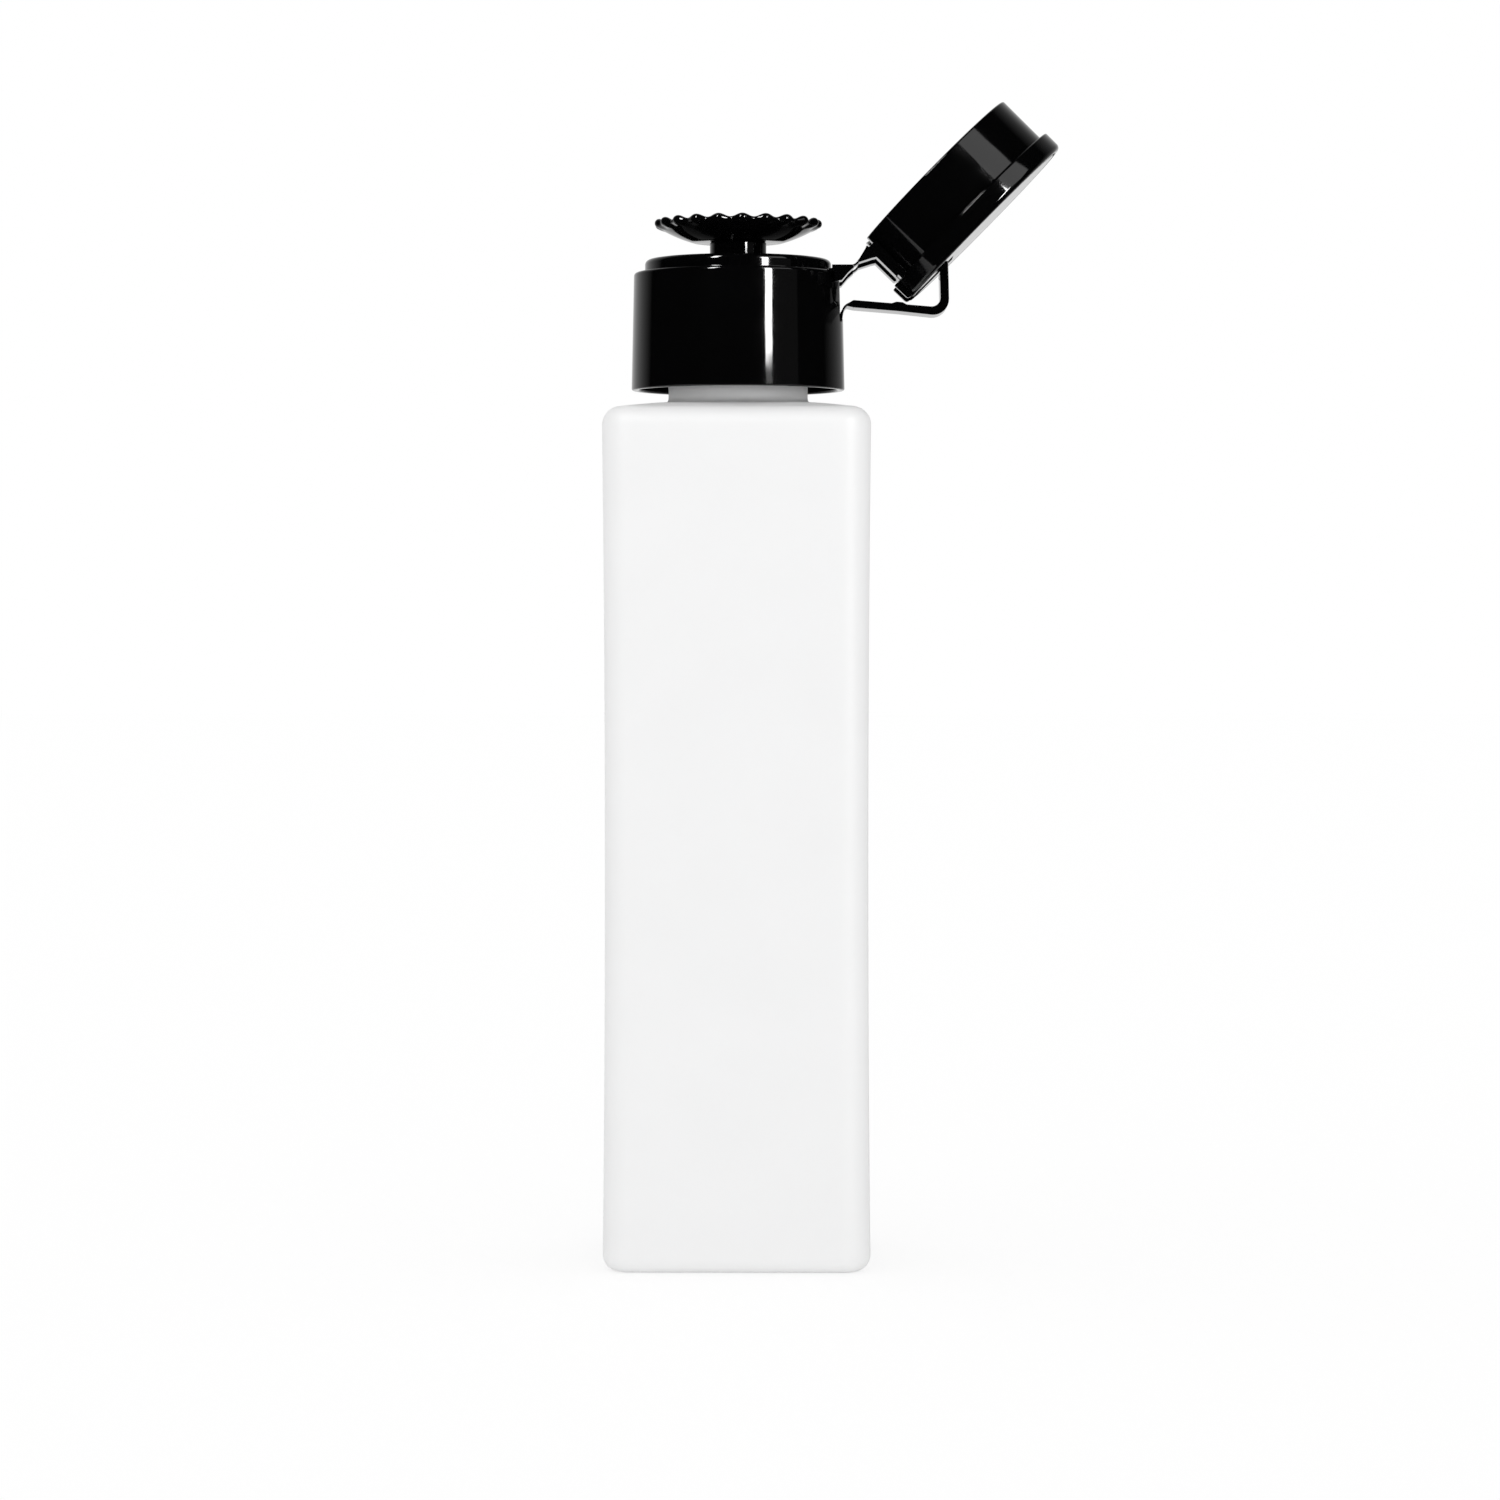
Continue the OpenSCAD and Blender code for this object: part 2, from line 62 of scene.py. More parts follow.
import bmesh
import bpy
from bpy.props import FloatProperty, FloatVectorProperty, IntProperty, PointerProperty
from mathutils import Matrix, Vector

bl_info = {
    "name": "Pump Bottle",
    "version": (1, 0, 0),
    "blender": (4, 5, 0),
    "location": "3D View > Sidebar > Pump Bottle",
    "description": "Builds a square pump bottle with a screw closure and a flip lid",
    "category": "Add Mesh",
}

# The frame: its box, its joints and the corners of its nodes
MM = 0.001
JOINTS = {joint["name"]: joint for joint in frame["joints"]}


def corners(node):
    """Lowest and highest corner of a node of the frame, in millimetres."""
    low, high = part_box(node)
    return low / MM, high / MM


def fold_of(joint):
    """The point that a joint of the frame turns about, in millimetres."""
    return Vector(JOINTS[joint]["pos_m"]) / MM


BODY_HALF = corners("bottle")[1].x
NECK_TOP = corners("bottle")[1].z
CLOSURE_FOOT = corners("closure")[0].z
SKIRT_R = -corners("closure")[0].x
RING_TOP = corners("closure")[1].z
SLEEVE_FOOT = corners("dish")[0].z
RIM_TOP = corners("dish")[1].z
LID_FOLD = fold_of("lid_hinge")
CLIP_FOLD = fold_of("clip_hinge")
LID_OPEN = -math.radians(JOINTS["lid_hinge"]["range_deg"][0])

TURN = 2 * math.pi
ROUND_STEPS = 160      # segments of a full turn on the large round pieces
THREAD_STEPS = 64      # segments of a turn of a thread
WELD = 0.0005          # points of a shape that lie closer are one, in millimetres
SLIVER = 0.001         # shortest edge that a boolean may leave, in millimetres


# Outlines and shapes. They are drawn in millimetres.

def arc(centre_x, centre_z, radius, start, end, segments=8):
    """Points of an arc between two angles in degrees, 0 being +X and 90 being +Z."""
    angles = [math.radians(start + (end - start) * i / segments) for i in range(segments + 1)]
    return [(centre_x + radius * math.cos(a), centre_z + radius * math.sin(a)) for a in angles]


def outline(points, segments=5):
    """A closed outline of corners (x, z) or (x, z, radius), those with a radius rounded by an arc."""
    made = []
    for i, point in enumerate(points):
        corner = Vector(point[:2])
        if len(point) == 2:
            made.append(tuple(corner))
            continue
        before = (Vector(points[i - 1][:2]) - corner).normalized()
        after = (Vector(points[(i + 1) % len(points)][:2]) - corner).normalized()
        half = before.angle(after) / 2
        radius = point[2]
        centre = corner + (before + after).normalized() * radius / math.sin(half)
        start = (corner + before * radius / math.tan(half) - centre).normalized()
        end = (corner + after * radius / math.tan(half) - centre).normalized()
        made += [tuple(centre + start.slerp(end, k / segments) * radius) for k in range(segments + 1)]
    return made


def bent(start, middle, end, thickness, segments=12):
    """Outline of a strip of even thickness along a curve that bends towards its middle point."""
    start, middle, end = Vector(start), Vector(middle), Vector(end)
    near, far = [], []
    for k in range(segments + 1):
        t = k / segments
        point = start * (1 - t) ** 2 + middle * 2 * t * (1 - t) + end * t ** 2
        along = (middle - start) * (1 - t) + (end - middle) * t
        across = Vector((-along.y, along.x)).normalized() * thickness / 2
        near.append(tuple(point + across))
        far.append(tuple(point - across))
    return near + far[::-1]


def turned(points, steps=ROUND_STEPS):
    """A closed outline turned once round the bottle's axis."""
    bm = bmesh.new()
    verts = [bm.verts.new((x, 0, z)) for x, z in points]
    pairs = [pair for pair in zip(verts, verts[1:] + verts[:1]) if pair[0].co.x > 0 or pair[1].co.x > 0]
    edges = [bm.edges.new(pair) for pair in pairs]
    bmesh.ops.spin(bm, geom=verts + edges, cent=(0, 0, 0), axis=(0, 0, 1), angle=TURN, steps=steps,
                   use_merge=True)
    bmesh.ops.remove_doubles(bm, verts=bm.verts, dist=WELD)
    bmesh.ops.recalc_face_normals(bm, faces=bm.faces)
    return bm


def prism(points, width, middle=0, edge=0):
    """A closed outline made width wide along Y, with its two faces' edges rounded by edge."""
    bm = bmesh.new()
    face = bm.faces.new([bm.verts.new((x, middle - width / 2, z)) for x, z in points])
    grown = bmesh.ops.extrude_face_region(bm, geom=[face])["geom"]
    bmesh.ops.translate(bm, vec=(0, width, 0), verts=[v for v in grown if isinstance(v, bmesh.types.BMVert)])
    bmesh.ops.recalc_face_normals(bm, faces=bm.faces)
    if edge:
        rims = [e for e in bm.edges if abs(e.verts[0].co.y - e.verts[1].co.y) < width / 2]
        bmesh.ops.bevel(bm, geom=rims, offset=edge, affect="EDGES", segments=2, profile=0.5, material=-1)
    return bm


def block(low, high):
    """A box between two corners."""
    bm = bmesh.new()
    bmesh.ops.create_cube(bm, size=1)
    low, high = Vector(low), Vector(high)
    bmesh.ops.scale(bm, vec=high - low, verts=bm.verts)
    bmesh.ops.translate(bm, vec=(low + high) / 2, verts=bm.verts)
    return bm


def lofted(rings):
    """Closed rings of points, each bridged to the next, with the first and the last one filled."""
    bm = bmesh.new()
    loops = []
    for ring in rings:
        verts = [bm.verts.new(point) for point in ring]
        loops.append([bm.edges.new(pair) for pair in zip(verts, verts[1:] + verts[:1])])
    for lower, upper in zip(loops, loops[1:]):
        bmesh.ops.bridge_loops(bm, edges=lower + upper)
    for ends in (loops[0], loops[-1]):
        bmesh.ops.contextual_create(bm, geom=ends)
    bmesh.ops.recalc_face_normals(bm, faces=bm.faces)
    return bm


def wound(section, turns, rise, size=lambda t: 1, steps=32):
    """A closed section wound round the axis; rise and size say its height and scale after t turns."""
    bm = bmesh.new()
    middle = sum((Vector(point) for point in section), Vector((0, 0))) / len(section)
    face = bm.faces.new([bm.verts.new((x, 0, z)) for x, z in section])
    count = round(turns * steps)
    for i in range(count + 1):
        t = turns * i / count
        if i:
            grown = bmesh.ops.extrude_face_region(bm, geom=[face])["geom"]
            face = next(f for f in grown if isinstance(f, bmesh.types.BMFace))
        place = Matrix.Rotation(TURN * t, 3, "Z")
        for vert, point in zip(face.verts, section):
            x, z = middle + (Vector(point) - middle) * size(t)
            vert.co = place @ Vector((x, 0, z + rise(t)))
    bmesh.ops.recalc_face_normals(bm, faces=bm.faces)
    return bm


def thread(section, turns, foot_z, lead):
    """A section wound up a thread, fading in and out over an eighth of a turn at its ends."""
    def fade(t):
        return 0.15 + 0.85 * min(1, 8 * t, 8 * (turns - t))
    return wound(section, turns, lambda t: foot_z + lead * t, fade, THREAD_STEPS)


def mesh_of(bm, name="held"):
    """A mesh made from a bmesh, which is freed."""
    mesh = bpy.data.meshes.new(name)
    bm.to_mesh(mesh)
    bm.free()
    return mesh


def placed(name, data):
    """A new object in the scene."""
    made = bpy.data.objects.new(name, data)
    bpy.context.scene.collection.objects.link(made)
    return made


def add_to(bm, other):
    """Adds another bmesh's faces to this one."""
    mesh = mesh_of(other)
    bm.from_mesh(mesh)
    bpy.data.meshes.remove(mesh)
    return bm


def carved(bm, steps):
    """The shape after each step (operation, tool) has joined it to a tool, or cut the tool out of it."""
    held = [placed("held", mesh_of(shape)) for shape in [bm] + [tool for _, tool in steps]]
    for (operation, _), tool in zip(steps, held[1:]):
        cut = held[0].modifiers.new(operation, "BOOLEAN")
        cut.operation = operation
        cut.object = tool
        cut.solver = "EXACT"
    made = bmesh.new()
    made.from_object(held[0], bpy.context.evaluated_depsgraph_get())
    for item in held:
        mesh = item.data
        bpy.data.objects.remove(item)
        bpy.data.meshes.remove(mesh)
    bmesh.ops.remove_doubles(made, verts=made.verts, dist=SLIVER)
    bmesh.ops.dissolve_degenerate(made, edges=made.edges, dist=SLIVER)
    return made


def piece(name, bm, material, sharp=32, even=True):
    """Makes an object from a shape in millimetres. It still has to be set on a body."""
    bmesh.ops.scale(bm, vec=(MM, MM, MM), verts=bm.verts)
    mesh = mesh_of(bm, name)
    mesh.shade_smooth()
    mesh.set_sharp_from_angle(angle=math.radians(sharp))
    mesh.materials.append(material)
    made = placed(name, mesh)
    if even:
        normals = made.modifiers.new("Even shading", "WEIGHTED_NORMAL")
        normals.keep_sharp = True
    return made


def merged(node):
    """A copy of a node's mesh, in millimetres, with its loose triangles merged."""
    bm = bmesh.new()
    bm.from_mesh(frame["nodes"][node].data)
    bmesh.ops.scale(bm, vec=(1 / MM, 1 / MM, 1 / MM), verts=bm.verts)
    bmesh.ops.remove_doubles(bm, verts=bm.verts, dist=WELD)
    bmesh.ops.dissolve_limit(bm, angle_limit=math.radians(0.5), verts=bm.verts, edges=bm.edges)
    return bm


# Materials

def linear(code):
    """The linear colour of an sRGB hex value such as #F4F4F2."""
    shares = [int(code[i:i + 2], 16) / 255 for i in (1, 3, 5)]
    return tuple(c / 12.92 if c <= 0.04045 else ((c + 0.055) / 1.055) ** 2.4 for c in shares)


def add_node(tree, kind, inputs=(), **settings):
    """Adds a shader node, sets its properties, and sets or links its inputs by name or number."""
    made = tree.nodes.new("ShaderNode" + kind)
    for name, value in settings.items():
        setattr(made, name, value)
    for socket, value in dict(inputs).items():
        if isinstance(value, bpy.types.NodeSocket):
            tree.links.new(value, made.inputs[socket])
        else:
            made.inputs[socket].default_value = value
    return made


def emptied(owner):
    """The node tree of a material or a world, emptied."""
    owner.use_nodes = True
    owner.node_tree.nodes.clear()
    return owner.node_tree


def grain(tree, size, stretch=(1, 1, 1), detail=2.0):
    """Noise whose grains are size millimetres across, longer along an axis by its stretch."""
    place = add_node(tree, "TexCoord").outputs["Object"]
    scale = [1 / (size * MM * s) for s in stretch]
    spread = add_node(tree, "Mapping", {"Vector": place, "Scale": scale})
    noise = add_node(tree, "TexNoise", {"Vector": spread.outputs[0], "Scale": 1.0, "Detail": detail})
    return noise.outputs["Fac"]


def ramp(tree, value, start, end, low, high, kind="LINEAR"):
    """Maps a value from between start and end to between low and high."""
    made = add_node(tree, "MapRange", {"Value": value, "From Min": start, "From Max": end, "To Min": low,
                                       "To Max": high}, interpolation_type=kind)
    return made.outputs["Result"]


NOISE_SPAN = (0.3, 0.7)      # nearly all values of a noise lie in it


def new_material(name):
    """A material and its node tree, which is still empty."""
    made = bpy.data.materials.new(name)
    return made, emptied(made)


def surface(made, tint, colours, polish, roughness, reliefs=(), **constants):
    """Fills a material: two colours, a range of roughness, bumps (pattern, millimetres), constants."""
    tree = made.node_tree
    inputs = {key.replace("_", " "): value for key, value in constants.items()}
    first, second = [(*value, 1) for value in colours]
    colour = add_node(tree, "Mix", {"Factor": tint, 6: first, 7: second}, data_type="RGBA")
    inputs["Base Color"] = colour.outputs[2]
    inputs["Roughness"] = ramp(tree, polish, *NOISE_SPAN, *roughness)
    for pattern, height in reliefs:
        bump = {"Height": pattern, "Distance": height * MM}
        if "Normal" in inputs:
            bump["Normal"] = inputs["Normal"]
        inputs["Normal"] = add_node(tree, "Bump", bump).outputs["Normal"]
    shader = add_node(tree, "BsdfPrincipled", inputs)
    add_node(tree, "OutputMaterial", {"Surface": shader.outputs[0]})
    return made


def white_hdpe(look):
    """Extrusion blow-moulded white HDPE: satin and waxy, with faint upright die lines."""
    made, tree = new_material("Blow-moulded HDPE")
    clouds, polish, skin = grain(tree, 28), grain(tree, 9), grain(tree, 0.45, detail=3)
    die_lines = grain(tree, 0.7, stretch=(1, 1, 60))
    return surface(made, clouds, (look.bottle_white, look.bottle_shade), polish, roughness=(0.46, 0.54),
                   reliefs=[(die_lines, 0.0015), (skin, 0.003)], IOR=1.54, Subsurface_Weight=0.15,
                   Subsurface_Radius=(1, 0.97, 0.94), Subsurface_Scale=2.0 * MM)


def black_pp(look):
    """Black polypropylene moulded in a polished tool: deep gloss, faint waves of shrinkage."""
    made, tree = new_material("Polished black PP")
    flow, polish = grain(tree, 12), grain(tree, 3)
    waves, skin = grain(tree, 7, detail=1), grain(tree, 0.5)
    return surface(made, flow, (look.black, look.black_flow), polish, roughness=(0.05, 0.08),
                   reliefs=[(waves, 0.025), (skin, 0.00025)], IOR=1.49)


def natural_pp(look):
    """Unpigmented moulded polypropylene: milky, lets light in, smooth with a slight bloom."""
    made, tree = new_material("Natural PP")
    clouds, polish, bloom = grain(tree, 4), grain(tree, 1.5), grain(tree, 0.6)
    return surface(made, clouds, (look.natural, look.natural_deep), polish, roughness=(0.28, 0.4),
                   reliefs=[(bloom, 0.002)], IOR=1.49, Subsurface_Weight=0.35,
                   Subsurface_Radius=(1, 1, 0.9), Subsurface_Scale=1.2 * MM)


def foam_pe(look):
    """Cut sheet of closed-cell PE foam: dull, with open cells of a quarter millimetre, darkened by painted
    shade.
    """
    made, tree = new_material("PE foam")
    place = add_node(tree, "TexCoord").outputs["Object"]
    depth = add_node(tree, "TexVoronoi", {"Vector": place, "Scale": 1 / (0.25 * MM)}).outputs["Distance"]
    # the second colour is painted shade in the cells, laid on by the same Voronoi distance that gives the
    # cells their depth
    return surface(made, depth, (look.foam, look.foam_cell_painted_shade), depth, roughness=(0.75, 0.95),
                   reliefs=[(depth, 0.06)], IOR=1.5)


def soft_pe(look):
    """Extruded or moulded low-density PE: cloudy, soft and a little waxy."""
    made, tree = new_material("Cloudy LDPE")
    clouds, drawn = grain(tree, 6), grain(tree, 0.5, stretch=(1, 1, 40))
    return surface(made, clouds, (look.soft, look.soft_deep), drawn, roughness=(0.32, 0.48),
                   reliefs=[(drawn, 0.003)], IOR=1.51, Subsurface_Weight=0.4,
                   Subsurface_Radius=(1, 1, 0.95), Subsurface_Scale=1.0 * MM)


def drawn_steel(look):
    """Bright drawn stainless wire: fine marks of the die along it."""
    made, tree = new_material("Drawn stainless wire")
    marks = grain(tree, 0.08, stretch=(5, 5, 1), detail=3)
    return surface(made, marks, (look.steel, look.steel_dark), marks, roughness=(0.2, 0.34),
                   reliefs=[(marks, 0.003)], Metallic=1.0)


def ball_steel(look):
    """Lapped stainless ball: a mirror with the faintest haze."""
    made, tree = new_material("Lapped stainless ball")
    haze = grain(tree, 0.3, detail=3)
    return surface(made, haze, (look.steel, look.steel_dark), haze, roughness=(0.05, 0.1), Metallic=1.0)


# Sizes and colours that a user may change

def length(name, description, size):
    """A length property, given in millimetres and kept in metres."""
    return FloatProperty(name=name, description=description, default=size * MM, min=0, unit="LENGTH",
                         precision=5)


def colour(name, description, code):
    """A colour property, given as an sRGB hex value."""
    return FloatVectorProperty(name=name, description=description, default=linear(code), min=0, max=1,
                               subtype="COLOR", size=3)


def millimetres(group):
    """A property group's lengths in millimetres, and its other values as they are."""
    made = {}
    for name in group.__annotations__:
        value = getattr(group, name)
        made[name] = value / MM if isinstance(value, float) else value
    return SimpleNamespace(**made)


class BottleSizes(bpy.types.PropertyGroup):
    corner_r: length("Corner radius", "Radius of the four upright corners", 4.5)
    shoulder_z: length("Shoulder height", "Height of the shoulder's outer edge", 135.4)
    shoulder_rise: length("Shoulder rise", "Rise of the shoulder from its edge to the neck", 1.3)
    shoulder_r: length("Shoulder radius", "Radius of the shoulder's edge", 3.0)
    base_r: length("Base radius", "Radius of the base's edge", 2.6)
    waist: length("Waist", "How far each side is sunk at mid height", 0.4)
    wall: length("Wall", "Wall thickness of the body", 1.0)
    push_up: length("Push-up", "How far the middle of the base is pushed up", 0.8)
    seam: length("Seam", "Height of the mould's parting line on the two sides", 0.05)
    neck_r: length("Neck radius", "Outer radius of the neck under its thread", 11.1)
    neck_wall: length("Neck wall", "Wall thickness of the neck", 1.9)
    thread_h: length("Thread height", "Height of the thread on the neck", 0.9)
    thread_lead: length("Thread lead", "Rise of the thread in one turn", 3.175)


class ClosureSizes(bpy.types.PropertyGroup):
    taper: length("Taper", "How much smaller the skirt's radius is at its top", 0.4)
    wall: length("Wall", "Wall thickness of the skirts", 1.2)
    step_w: length("Step width", "Width of the step round the raised ring", 1.75)
    ring_h: length("Ring height", "Height of the ring above the step", 2.2)
    ring_drop: length("Ring drop", "How far the ring's top lies below the frame's", 0.12)
    deck_t: length("Deck", "Thickness of the deck inside the ring", 1.2)
    deck_sink: length("Deck sink", "Depth of the deck below the step", 0.18)
    lug_w: length("Lug width", "Width of each hinge lug", 4.1)
    lug_y: length("Lug place", "Distance of each hinge lug from the middle plane", 6.35)
    lug_drop: length("Lug drop", "How far the tops of the closure's lugs lie below the fold", 0.85)
    notch_w: length("Notch width", "Width of the notch that the clip folds into", 8.1)
    notch_z: length("Notch foot", "Height of the notch's foot", 149.9)
    film: length("Film", "Thickness of the films that fold", 0.3)


class LidSizes(bpy.types.PropertyGroup):
    gap: length("Gap", "Gap between the lid's mouth and the raised ring", 0.35)
    mouth_gap: length("Mouth gap", "Gap between the shut lid's mouth and the step", 0.38)
    wall: length("Wall", "Wall thickness of the lid's skirt", 0.88)
    flange_out: length("Flange", "How far the flange stands out from the skirt", 1.18)
    flange_h: length("Flange depth", "Depth of the flange", 3.3)
    top_t: length("Top", "Thickness of the lid's top", 1.2)
    head: length("Head room", "Room over the dish when the lid is shut", 2.25)
    recess_depth: length("Recess depth", "Depth of the recess for the hook", 1.95)


class ClipSizes(bpy.types.PropertyGroup):
    width: length("Width", "Width of the strap", 7.5)
    thickness: length("Thickness", "Thickness of the strap", 1.18)
    offset: length("Offset", "Height of the strap's middle over its fold", 0.31)
    bend_r: length("Bend radius", "Outer radius of the bend to the hook", 2.5)
    hook_l: length("Hook length", "Height of the hook's tip over the strap's middle", 8.6)
    lean: length("Lean", "How far the hook's tip leans in towards the fold", 1.0)
    pip_h: length("Pip height", "Height of the pad that the open lid rests on", 0.3)


class DishSizes(bpy.types.PropertyGroup):
    drop: length("Drop", "How far the tops of the scallops lie below the frame's", 0.25)
    height: length("Height", "From the underside to the top of the scallops", 3.5)
    thickness: length("Thickness", "Wall thickness of the dish", 1.0)
    flat_r: length("Flat radius", "Radius of the flat middle", 7.1)
    bowl_r: length("Bowl radius", "Radius of the curve from the flat to the rim", 21.0)
    edge_r: length("Edge radius", "Radius of the circle that the scallops stand on", 12.5)
    rim_r: length("Rim radius", "Radius of the rim's rounded edge", 0.55)
    wave: length("Wave", "How far each scallop stands out", 0.2)
    sleeve_r: length("Sleeve radius", "Outer radius of the sleeve", 4.5)
    stem_r: length("Socket radius", "Radius of the socket for the stem", 2.22)
    scallops: IntProperty(name="Scallops", description="Number of scallops", default=21, min=12, max=30)


class PumpSizes(bpy.types.PropertyGroup):
    wire_d: length("Wire", "Diameter of the spring's wire", 0.7)
    coils: IntProperty(name="Coils", description="Number of the spring's turns", default=6, min=4, max=8)


class Colours(bpy.types.PropertyGroup):
    bottle_white: colour("Bottle", "White of the bottle", "#F6F6F6")
    bottle_shade: colour("Bottle shade", "Slightly deeper white of the bottle", "#F3F3F3")
    black: colour("Black", "Black of the closure, lid, clip and dish", "#030303")
    black_flow: colour("Black, flow marks", "Black where the melt flowed last", "#050506")
    natural: colour("Natural PP", "Milky white of the pump", "#E2E4DF")
    natural_deep: colour("Natural PP, thick", "Milky white of thicker places", "#D5D8D2")
    foam: colour("Foam", "White of the gasket", "#EDEDEA")
    # painted shade inside the foam's cells
    foam_cell_painted_shade: colour("Foam cells", "Shade inside the gasket's cells", "#D0D0CB")
    soft: colour("Soft PE", "White of the seal and the tube", "#E6E7E3")
    soft_deep: colour("Soft PE, thick", "White of thicker places", "#D9DBD5")
    steel: colour("Steel", "Colour of the spring and the balls", "#CFCFCE")
    steel_dark: colour("Steel marks", "Colour of the marks in the steel", "#A9A9A8")


class PumpBottleSettings(bpy.types.PropertyGroup):
    bottle: PointerProperty(type=BottleSizes)
    closure: PointerProperty(type=ClosureSizes)
    lid: PointerProperty(type=LidSizes)
    clip: PointerProperty(type=ClipSizes)
    dish: PointerProperty(type=DishSizes)
    pump: PointerProperty(type=PumpSizes)
    colours: PointerProperty(type=Colours)


# Bottle

def square_plan(half, corner, side_steps=7, corner_steps=10):
    """Points round a rounded square, with three close ones where a parting line can stand."""
    reach = half - corner
    line = 0.2      # half the parting line's width
    along = sorted([reach * k / side_steps for k in range(1 - side_steps, side_steps)] + [-line, line])
    made = []
    for quarter in range(4):
        place = Matrix.Rotation(TURN * quarter / 4, 2)
        side = [(half, y) for y in along]
        turn = arc(reach, reach, corner, 0, 90, corner_steps)
        made += [place @ Vector(point) for point in side + turn]
    return made


def bottle_shape(bottle):
    """The whole bottle: outside, lip, and the inside of its neck and body."""
    half = BODY_HALF
    corner = bottle.corner_r
    neck_z = bottle.shoulder_z + bottle.shoulder_rise
    plan = square_plan(half, corner)

    def ring(z, depth=0.0, share=1.0, neck=0.0, neck_share=0.0, seam=0.0):
        """The plan moved in by depth, shrunk to a share, and drawn towards a circle of radius neck."""
        made = []
        for point in plan:
            core = Vector([max(-half + corner, min(half - corner, c)) for c in point])
            inner = (core + (point - core) * (corner - depth) / corner) * share
            spot = inner.lerp(point.normalized() * neck, neck_share)
            if abs(point.y) < 0.01:
                spot.x += math.copysign(seam, spot.x)
            made.append((*spot, z))
        return made

    def side(depth, low, high, seam):
        """Rings up a side that is sunk towards mid height; a power under 1 flattens its middle."""
        made = []
        steps, power = 16, 0.8
        for k in range(1, steps):
            t = k / steps
            sunk = bottle.waist * math.sin(math.pi * t) ** power
            made.append(ring(low + (high - low) * t, depth + sunk, seam=seam))
        return made

    def edge(radius, low_z, start, end, depth=0.0, seam=0.0):
        """Rings round the base's edge or the shoulder's edge."""
        return [ring(z, depth + radius - x, seam=seam) for x, z in arc(0, low_z, radius, start, end, 9)]

    def round_rings(points):
        """Rings of the neck, from (radius, z)."""
        return [ring(z, neck=r, neck_share=1.0) for r, z in points]

    base_r, shoulder_r, wall = bottle.base_r, bottle.shoulder_r, bottle.wall
    neck_r, bore_r = bottle.neck_r, bottle.neck_r - bottle.neck_wall
    shoulder_z, root, lip = bottle.shoulder_z, 1.0, 0.4      # root and lip are radii of the neck's ends
    foot = corner - 0.6      # how far in the base's standing face ends
    dome = ((0.08, 1.0), (0.35, 0.98), (0.6, 0.92), (0.82, 0.72), (0.95, 0.4), (1.0, 0.18))
    rings = [ring(bottle.push_up * rise, foot + 0.35, share) for share, rise in dome]
    rings += [ring(0.0, foot), ring(0.0, base_r + 0.1)]
    rings += edge(base_r, base_r, -90, 0, seam=bottle.seam)
    rings += side(0.0, base_r, shoulder_z - shoulder_r, bottle.seam)
    rings += edge(shoulder_r, shoulder_z - shoulder_r, 0, 88, seam=bottle.seam)
    arched, straight, sink = 0.55, 0.45, 0.3      # shares of the shoulder's rise; its sink at the neck
    for k in range(1, 8):
        t = k / 8
        z = shoulder_z + bottle.shoulder_rise * math.sin(t * math.pi / 2) * arched
        z += bottle.shoulder_rise * t * straight - sink * t
        rings.append(ring(z, shoulder_r, neck=neck_r + root, neck_share=t, seam=bottle.seam * (1 - t)))
    rings += round_rings(arc(neck_r + root, neck_z + root - sink, root, -90, -180, 6))
    rings += round_rings([(neck_r, NECK_TOP - lip - 4)])
    rings += round_rings(arc(neck_r - lip, NECK_TOP - lip, lip, 0, 90, 5))
    rings += round_rings(arc(bore_r + lip / 2, NECK_TOP - lip / 2, lip / 2, 90, 180, 4))
    rings += round_rings([(bore_r, neck_z), (bore_r, neck_z - 0.6)])
    inner_r, flare = shoulder_r - wall / 2, 1.2      # flare is how much the bore widens into the body
    for k in range(1, 6):
        t = k / 6
        z = neck_z - wall - (bottle.shoulder_rise + 0.1) * t
        rings.append(ring(z, wall + inner_r, neck=bore_r + flare, neck_share=1 - t))
    rings += edge(inner_r, shoulder_z - shoulder_r, 88, 0, depth=wall)
    rings += side(wall, base_r, shoulder_z - shoulder_r, 0.0)[::-1]
    floor_z = bottle.push_up + wall
    in_base = base_r - wall / 2
    rings += [ring(z, wall + in_base - x) for x, z in arc(0, floor_z + in_base, in_base, 0, -90, 6)]
    rings += [ring(floor_z, foot + 0.3, 0.5)]
    bm = lofted(rings)

    # thread of one and a half turns
    crest, in_neck = neck_r + bottle.thread_h, neck_r - 0.1
    section = [(in_neck, -1.0), (crest, -0.45), (crest, 0.15), (in_neck, 0.75)]
    turns, under_lip = 1.5, 2.2
    foot_z = NECK_TOP - under_lip - turns * bottle.thread_lead
    add_to(bm, thread(section, turns, foot_z, bottle.thread_lead))

    # pinch-off line across the base
    reach, slant = 10, 0.6
    in_base_z, crest_z = bottle.push_up + 0.1, bottle.push_up - 0.35
    line = [(-reach, in_base_z), (slant - reach, crest_z), (reach - slant, crest_z), (reach, in_base_z)]
    return add_to(bm, prism(line, 0.5, edge=0.12))


# Closure

def closure_levels(closure):
    """Heights and radii of the closure that the lid and the clip share."""
    step_z = RING_TOP - closure.ring_h
    skirt_top = SKIRT_R - closure.taper
    return SimpleNamespace(step_z=step_z, skirt_top=skirt_top, ring_r=skirt_top - closure.step_w,
                           ring_top=RING_TOP - closure.ring_drop, deck_top=step_z - closure.deck_sink)


